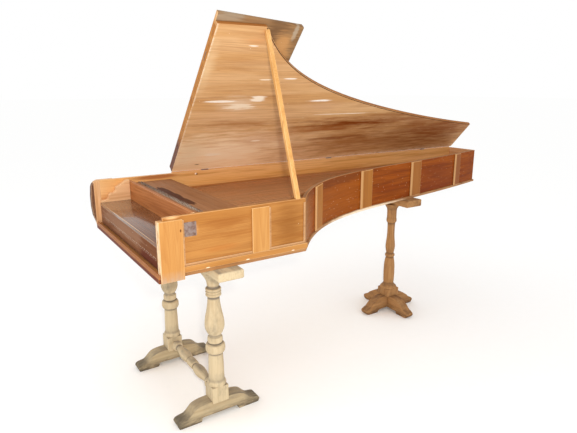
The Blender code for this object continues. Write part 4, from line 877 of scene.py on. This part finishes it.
def make_case():
    """Boards of the case, inside and out."""
    dress("spine", "spine", long_grain, 1.5)
    dress("cheek", "panel", long_grain, 1.5)
    half_thickness = 0.012
    for part in ("front", "rear"):
        dress_varnished(
            f"bentside_{part}", bent_grain, "inside",
            lambda face: bent_grain(face.calc_center_median())[2] > half_thickness,
        )
    dress_varnished("tail_board", cross_grain, "key_cheek", lambda face: face.normal.y < -0.9)
    dress("bottom_board", "lip", long_grain, 0.0)
    dress("front_rail", "rail", cross_grain, 1.0, "moulding")
    dress("front_sill", "sill", cross_grain, 1.0)
    dress("front_stile_bass", "bass_stile", up_grain, 1.6, "upright")
    dress("front_stile_treble", "stile", up_grain, 1.2, "upright")
    for side in ("bass", "treble"):
        dress(f"key_cheek_{side}", "key_cheek", long_grain, 1.5)
    dress("cheek_stile", "stile", up_grain, 1.5, "upright")
    dress("cheek_bottom_rail", "low_rail", long_grain, 1.5)
    dress("cheek_moulding_front", "moulding", long_grain, 1.5, "strip")
    dress("cheek_moulding_rear", "moulding", long_grain, 1.5, "strip")
    for number in (1, 2, 3, 4):
        dress(f"bentside_stile_{number}", "bent_stile", up_grain, 2.0, "upright")
    dress("nameboard", "name", cross_grain, 1.2, "front")
    dress("wrestplank", "plank", cross_grain, 2.0, "block")
    dress("nut", "rail", cross_grain, 0.8, "strip")
    dress("belly_rail", "inside", cross_grain, 1.0, "timber")
    dress("soundboard", "soundboard", long_grain, 0.0, "sheet")
    dress("bridge", "rail", bent_grain, 1.0, "strip")
    dress("hitchpin_rail", "inside", bent_grain, 1.0, "strip")
    dress("hammer_rail", "inside", cross_grain, 1.0, "timber")
    dress("key_frame", "key", cross_grain, 1.0, "timber")


def make_case_trim():
    """Small strips and nails of the case: the hinge bead, the soundboard's moulding, the lock plate."""
    bead_x, rim, bead_radius = -0.005, 0.2116, 0.0038
    bead = [(-0.0002, 0.2065), (-0.0002, 0.2094), (-0.0008, 0.2106), (-0.0008, 0.2121)]
    for degrees in range(40, 271, 23):
        angle = math.radians(degrees)
        bead.append((bead_x + bead_radius * math.cos(angle), rim + bead_radius * math.sin(angle)))
    between_hinges = ((0.372, 0.529), (0.571, 1.329), (1.371, 2.129), (2.171, 2.425))
    for number, (start_y, end_y) in enumerate(between_hinges, start=1):
        strip_along_case(f"hinge_bead_{number}", bead, start_y, end_y, "spine")
    wall, deck = 0.0145, 0.1283
    quarter = [(wall, deck), (0.0225, deck), (0.0215, 0.1322), (0.0185, 0.135), (wall, 0.1365)]
    strip_along_case("soundboard_moulding", quarter, 0.452, 2.38, "sill", 0.4)
    tail = [(wall, deck), (0.168, deck), (0.168, 0.14), (wall, 0.14)]
    strip_along_case("tail_hitchpin_rail", tail, 2.384, 2.4115, "inside", 1.0)
    dress("lock_plate", "iron", long_grain, 0.8, "forging")
    low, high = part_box("lock_plate")
    inset = 0.006
    corners = [
        Vector((high.x - 0.0003, y, z))
        for y in (low.y + inset, high.y - inset)
        for z in (low.z + inset, high.z - inset)
    ]
    dome = ((2.6, 0.0), (2.4, 0.7), (1.6, 1.2), (0.6, 1.4))
    studs("lock_plate_nails", corners, dome, XYZ[0], "pin")
    middle = (low + high) / 2
    keyhole = Vector((high.x - 0.0012, middle.y, middle.z + 0.004))
    ring = ((4.4, 0.0), (4.4, 1.9), (3.2, 2.1), (2.9, 1.3))
    studs("keyhole_ring", [keyhole], ring, XYZ[0], "iron", sides=16)


def make_cover():
    """The keyboard's cover: its polished top and its dusty front."""
    dress("cover_top", "cover", cross_grain, 0.0)
    dress("cover_front", "cover_front", cross_grain, 1.0)


# Lid, folded leaf and stick

def dress_leaf(node, under, top, side, arris_mm=0.0):
    """A leaf of the lid: its underside, its top, its front end and its sides have finishes of their own."""
    finish = [WOOD[name][0] for name in (under, top, "lid_end", side, "lid_line")]
    is_under, is_top, is_end, is_side, is_line = range(5)
    bm = cad_shape(node)
    for face in bm.faces:
        up = face.normal.dot(LID_UP)
        at_joint = abs(face.calc_center_median().y - LEAF_JOINT.y) < 0.01
        if abs(up) > 0.85:
            face.material_index = is_under if up < 0 else is_top
        else:
            face.material_index = is_end if at_joint and abs(face.normal.y) > 0.85 else is_side
    # A narrow ring inset on the underside along the curved edge takes the lid_line finish: a painted shadow line
    if arris_mm:
        curve_from, curve_to, least_reach = 0.58, 2.42, 0.2
        undersides = [face for face in bm.faces if face.material_index == is_under]
        underside = max(undersides, key=lambda face: face.calc_area())
        for face in bmesh.ops.inset_region(bm, faces=[underside], thickness=arris_mm * MM)["faces"]:
            along, reach, _ = lid_grain(face.calc_center_median())
            if curve_from < along < curve_to and reach > least_reach:
                face.material_index = is_line
    stand_in(node, "leaf", bm, lid_grain, finish)


def make_lid():
    """Lid, folded leaf, their ironwork and the prop stick."""
    dress_leaf("lid_main", "lid", "lid_top", "lid_side", 4.0)
    dress_leaf("lid_flap", "flap", "leaf_inside", "flap")
    dress("prop_stick", "stick", up_grain, 1.2, "rod")
    joint_y, _, joint_height = lid_grain(LEAF_JOINT)
    half_knuckle, knuckle_radius = 0.022, 0.0016
    for number, reach in enumerate((0.18, 0.7), start=1):
        bm = bmesh.new()
        ends = [on_lid(reach + end, joint_y, joint_height) for end in (-half_knuckle, half_knuckle)]
        skin_rings(bm, [ring_round(bm, end, knuckle_radius, XYZ[1], LID_UP, 12) for end in ends])
        knuckle = place_piece(f"leaf_knuckle_{number}", bm, lid_grain, WOOD["iron"], "lid")
        soften_edges(knuckle, 0.4)
    strap = ((0.0048, 0.004), (0.0048, 0.016), (0.0032, 0.016), (0.0032, 0.004))
    half_strap, wall_plate = 0.024, 0.0058
    dome = ((2.4, 0.0), (2.1, 0.5), (1.3, 0.9), (0.5, 1.0))
    for number in (1, 2, 3):
        dress(f"lid_hinge_{number}", "iron", long_grain, 0.0, "forging")
        low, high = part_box(f"lid_hinge_{number}")
        middle = (low.y + high.y) / 2
        along = middle - CASE.y
        bm = bmesh.new()
        ends = (along - half_strap, along + half_strap)
        skin_rings(bm, [[bm.verts.new(on_lid(reach, end, up)) for reach, up in strap] for end in ends])
        soften_edges(place_piece(f"hinge_leaf_{number}", bm, long_grain, WOOD["iron"], "lid"), 0.4)
        on_leaf = [on_lid(0.0034, along + shift, 0.01) for shift in (-0.016, 0.0, 0.016)]
        studs(f"hinge_leaf_screws_{number}", on_leaf, dome, (-LID_COS, 0, -LID_SIN), "pin", "lid")
        on_wall = [
            Vector((low.x + wall_plate, middle + shift, high.z - down))
            for shift in (-0.017, 0.017)
            for down in (0.024, 0.044)
        ]
        studs(f"hinge_wall_screws_{number}", on_wall, dome, (-1, 0, 0), "pin")


# Keys, hammers, dampers, pins and strings

def make_action():
    """The keyboard's groups: key tops, leathered hammers and cloth-faced dampers get their own finish."""
    naturals_end, naturals_top = 0.148, 0.084
    sharps_end, sharps_foot = 0.147, 0.0835
    cloth_low, cloth_high = 0.139, 0.1412
    # Where a covering is, by its face's centre in the case and its normal
    tops = {
        "keys": (
            ("natural", lambda c, n: c.y < naturals_end and n.z > 0.9 and c.z < naturals_top),
            ("sharp", lambda c, n: c.z > sharps_foot and c.y < sharps_end),
        ),
        "hammers": (("leather", lambda c, n: c.z > HAMMER_HEAD),),
        "dampers": (("cloth", lambda c, n: cloth_low < c.z < cloth_high and n.z < -0.9),),
    }
    for group in GROUPS:
        for kind, rules in tops.items():
            node = f"{kind}_{group}"
            bm = cad_shape(node)
            for face in bm.faces:
                centre = face.calc_center_median() - CASE
                for index, (_, rule) in enumerate(rules, start=1):
                    if rule(centre, face.normal):
                        face.material_index = index
            stand_in(node, "set", bm, long_grain, [WOOD[name][0] for name in ("key", *dict(rules))])


def string_places():
    """The X of each string pair, taken from the hammer heads."""
    places = []
    for group in GROUPS:
        bm = cad_shape(f"hammers_{group}")
        tops = [face.calc_center_median() - CASE for face in bm.faces if face.normal.z > 0.9]
        places += sorted(top.x for top in tops if top.z > HAMMER_HEAD)
        bm.free()
    return places


def inset_line(depth):
    """The line inside the curved side, at a depth from its outer face."""
    line = []
    for first, second in zip(CURVE, CURVE[1:]):
        along = (second - first).normalized()
        line.append((first + second) / 2 + depth * Vector((-along.y, along.x)) - CASE.xy)
    return line


def reach_line(line, start, ahead):
    """Follow a straight run from a start until it meets a line; None if it never does."""
    for first, second in zip(line, line[1:]):
        side = second - first
        cross = ahead.x * side.y - ahead.y * side.x
        if abs(cross) < 1e-9:
            continue
        offset = first - start
        run = (offset.x * side.y - offset.y * side.x) / cross
        share = (offset.x * ahead.y - offset.y * ahead.x) / cross
        if run > 0.01 and -0.02 <= share <= 1.02:
            return start + ahead * run
    return None


def make_strings():
    """Two strings to each hammer: from the nut, over the bridge, to a hitchpin, with all their pins."""
    bridge_line = inset_line(0.121)
    rail_line = inset_line(0.026)
    bridge_low, bridge_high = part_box("bridge")
    margin, half_pair = 0.008, 0.0013
    least, most = bridge_low.x - CASE.x + margin, bridge_high.x - CASE.x - margin
    nut_y, tail_y = 0.343, 2.395
    nut_top, bridge_top, rail_top, plank_top = 0.1385, 0.1399, 0.1405, 0.1846
    pins_from, pins_width = 0.03, 0.775
    front_row, rear_row = 0.196, 0.206
    places = string_places()
    runs, bridge_pins, hitch_pins, tuning_pins = [], [], [], []
    for number, x in enumerate(places):
        share = (x - places[0]) / (places[-1] - places[0])
        aim = least + share * (most - least)
        over = min(bridge_line, key=lambda point: abs(point.x - aim))
        start = Vector((x, nut_y))
        ahead = (over - start).normalized()
        end = reach_line(rail_line, over, ahead)
        if end is None or end.y > tail_y:
            end = over + ahead * ((tail_y - over.y) / ahead.y)
        for side, row, step in ((-half_pair, front_row, 0.25), (half_pair, rear_row, 0.75)):
            points = ((start, nut_top), (over, bridge_top), (end, rail_top))
            runs.append([at(point.x + side, point.y, height) for point, height in points])
            bridge_pins.append(at(over.x + side + 0.0011, over.y - 0.002, bridge_top - 0.0007))
            hitch_pins.append(at(end.x + side, end.y + 0.0014, rail_top - 0.001))
            tuning_pins.append(at(pins_from + pins_width * (number + step) / len(places), row, plank_top))
    wires("strings", runs, 0.2, "wire")
    studs("bridge_pins", bridge_pins, ((0.7, 0.0), (0.7, 2.2), (0.3, 2.5)), XYZ[2], "pin", sides=6)
    studs("hitch_pins", hitch_pins, ((0.9, 0.0), (0.9, 2.6), (0.4, 3.0)), XYZ[2], "pin", sides=6)
    head = ((1.6, 0.0), (1.6, 3.0), (1.9, 3.6), (1.9, 6.4), (1.3, 7.0))
    studs("tuning_pins", tuning_pins, head, XYZ[2], "pin", sides=8)


# Stand

def smooth_run(points, steps):
    """Return a smooth curve through every point, with its steps between each two."""
    run = []
    for i in range(len(points) - 1):
        before, first = Vector(points[max(i - 1, 0)]), Vector(points[i])
        second, after = Vector(points[i + 1]), Vector(points[min(i + 2, len(points) - 1)])
        handle = (second - before) / 6
        other = (after - first) / 6
        run += interpolate_bezier(first, first + handle, second - other, second, steps + 1)[:-1]
    return run + [Vector(points[-1])]


def turned_rows(node, centre, axis, low, high):
    """Read a turned node's outline back from its shape: (distance along the axis, radius)."""
    rows = {}
    for vert in frame["nodes"][node].data.vertices:
        offset = vert.co - centre
        along = round(offset[axis], 4)
        offset[axis] = 0.0
        if low < along < high:
            rows[along] = max(rows.get(along, 0.0), offset.length)
    return sorted(rows.items())


def turning(node, rows, centre, axis, finish):
    """Turn a node's piece on the lathe from its outline; hollows are noted for the grime and painted shade in
    them.
    """
    outline = smooth_run(rows, 4)
    side, top = (axis + 1) % 3, (axis + 2) % 3
    bm = bmesh.new()
    hollow = bm.verts.layers.float.new("hollow")
    reach, full_depth = 0.012, 0.003
    rings = []
    for along, radius in outline:
        near = [other.y for other in outline if abs(other.x - along) < reach]
        depth = (sum(near) / len(near) - radius) / full_depth
        ring = ring_round(bm, centre + XYZ[axis] * along, radius, XYZ[side], XYZ[top], 64)
        for vert in ring:
            vert[hollow] = min(max(depth, 0.0), 1.0)
        rings.append(ring)
    skin_rings(bm, rings)

    def grain(point):
        place = point - centre
        return place[axis], place[side], place[top]

    stand_in(node, "turning", bm, grain, WOOD[finish])


def make_column(node, finish, block_size):
    """A turned column over its square block, whose edges are softened."""
    low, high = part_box(node)
    centre = Vector(((low.x + high.x) / 2, (low.y + high.y) / 2, 0.0))
    half = block_size / 2
    block_top = max(
        vert.co.z
        for vert in frame["nodes"][node].data.vertices
        if abs(abs(vert.co.x - centre.x) - half) < 0.0002 and abs(abs(vert.co.y - centre.y) - half) < 0.0002
    )
    rows = turned_rows(node, centre, 2, block_top + 0.0001, high.z + 0.001)
    rows.insert(0, (block_top - 0.0003, rows[0][1] * 0.97))
    turning(node, rows, centre, 2, finish)
    bm = bmesh.new()
    bmesh.ops.create_cube(bm, size=1.0)
    for vert in bm.verts:
        vert.co = (*(centre + vert.co * block_size).xy, low.z if vert.co.z < 0 else block_top)
    block = place_piece(f"{node}_block", bm, up_grain, WOOD[finish], BODY_OF[node])
    soften_edges(block, 2.5, 3)


def outline_of(node, axis):
    """Read the outline of a sawn piece from its largest flat face."""
    bm = cad_shape(node)
    faces = [face for face in bm.faces if abs(face.normal[axis]) > 0.99]
    face = max(faces, key=lambda each: each.calc_area())
    points = [vert.co.copy() for vert in face.verts]
    bm.free()
    return points


def soften_outline(points):
    """Smooth a closed outline, but keep its true corners and its long straight runs."""
    count = len(points)
    steps, least_straight, least_corner = 3, 0.045, math.radians(55.0)
    corner = [
        (points[i] - points[i - 1]).angle(points[(i + 1) % count] - points[i]) > least_corner
        for i in range(count)
    ]
    run = []
    for i in range(count):
        first, second = points[i], points[(i + 1) % count]
        before, after = points[i - 1], points[(i + 2) % count]
        straight = (second - first).length > least_straight
        leave = (second - first) / 3 if corner[i] or straight else (second - before) / 6
        arrive = (second - first) / 3 if corner[(i + 1) % count] or straight else (after - first) / 6
        if straight:
            run.append(first.copy())
        else:
            run += interpolate_bezier(first, first + leave, second - arrive, second, steps + 1)[:-1]
    return run


def scroll_foot(node, axis, finish):
    """Sawn scroll foot: its outline smoothed with a rasp, its long edges rounded."""
    outline = soften_outline(outline_of(node, axis))
    bm = bmesh.new()
    sides = []
    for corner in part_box(node):
        for point in outline:
            point[axis] = corner[axis]
        sides.append([bm.verts.new(point) for point in outline])
    skin_rings(bm, sides)
    grain = long_grain if axis == 0 else cross_grain
    soften_edges(stand_in(node, "scroll", bm, grain, WOOD[finish]), 3.0, 3)


def make_stand():
    """Trestle under the keyboard and pedestal under the tail."""
    for side in ("bass", "treble"):
        make_column(f"trestle_column_{side}", "stand", 0.072)
        scroll_foot(f"trestle_foot_{side}", 0, "foot")
    make_column("pedestal_column", "pedestal", 0.088)
    scroll_foot("pedestal_foot_across", 1, "pedestal")
    scroll_foot("pedestal_foot_along", 0, "pedestal")
    low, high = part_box("trestle_stretcher")
    centre = (low + high) / 2
    rows = turned_rows("trestle_stretcher", centre, 0, -1.0, 1.0)
    turning("trestle_stretcher", rows, centre, 0, "stand")
    dress("trestle_plank", "stand", cross_grain, 0.0, "bearer")
    dress("pedestal_plank", "pedestal", cross_grain, 0.0, "bearer")


make_camera()
make_room()
make_finishes()
make_case()
make_case_trim()
make_cover()
make_lid()
make_action()
make_strings()
make_stand()
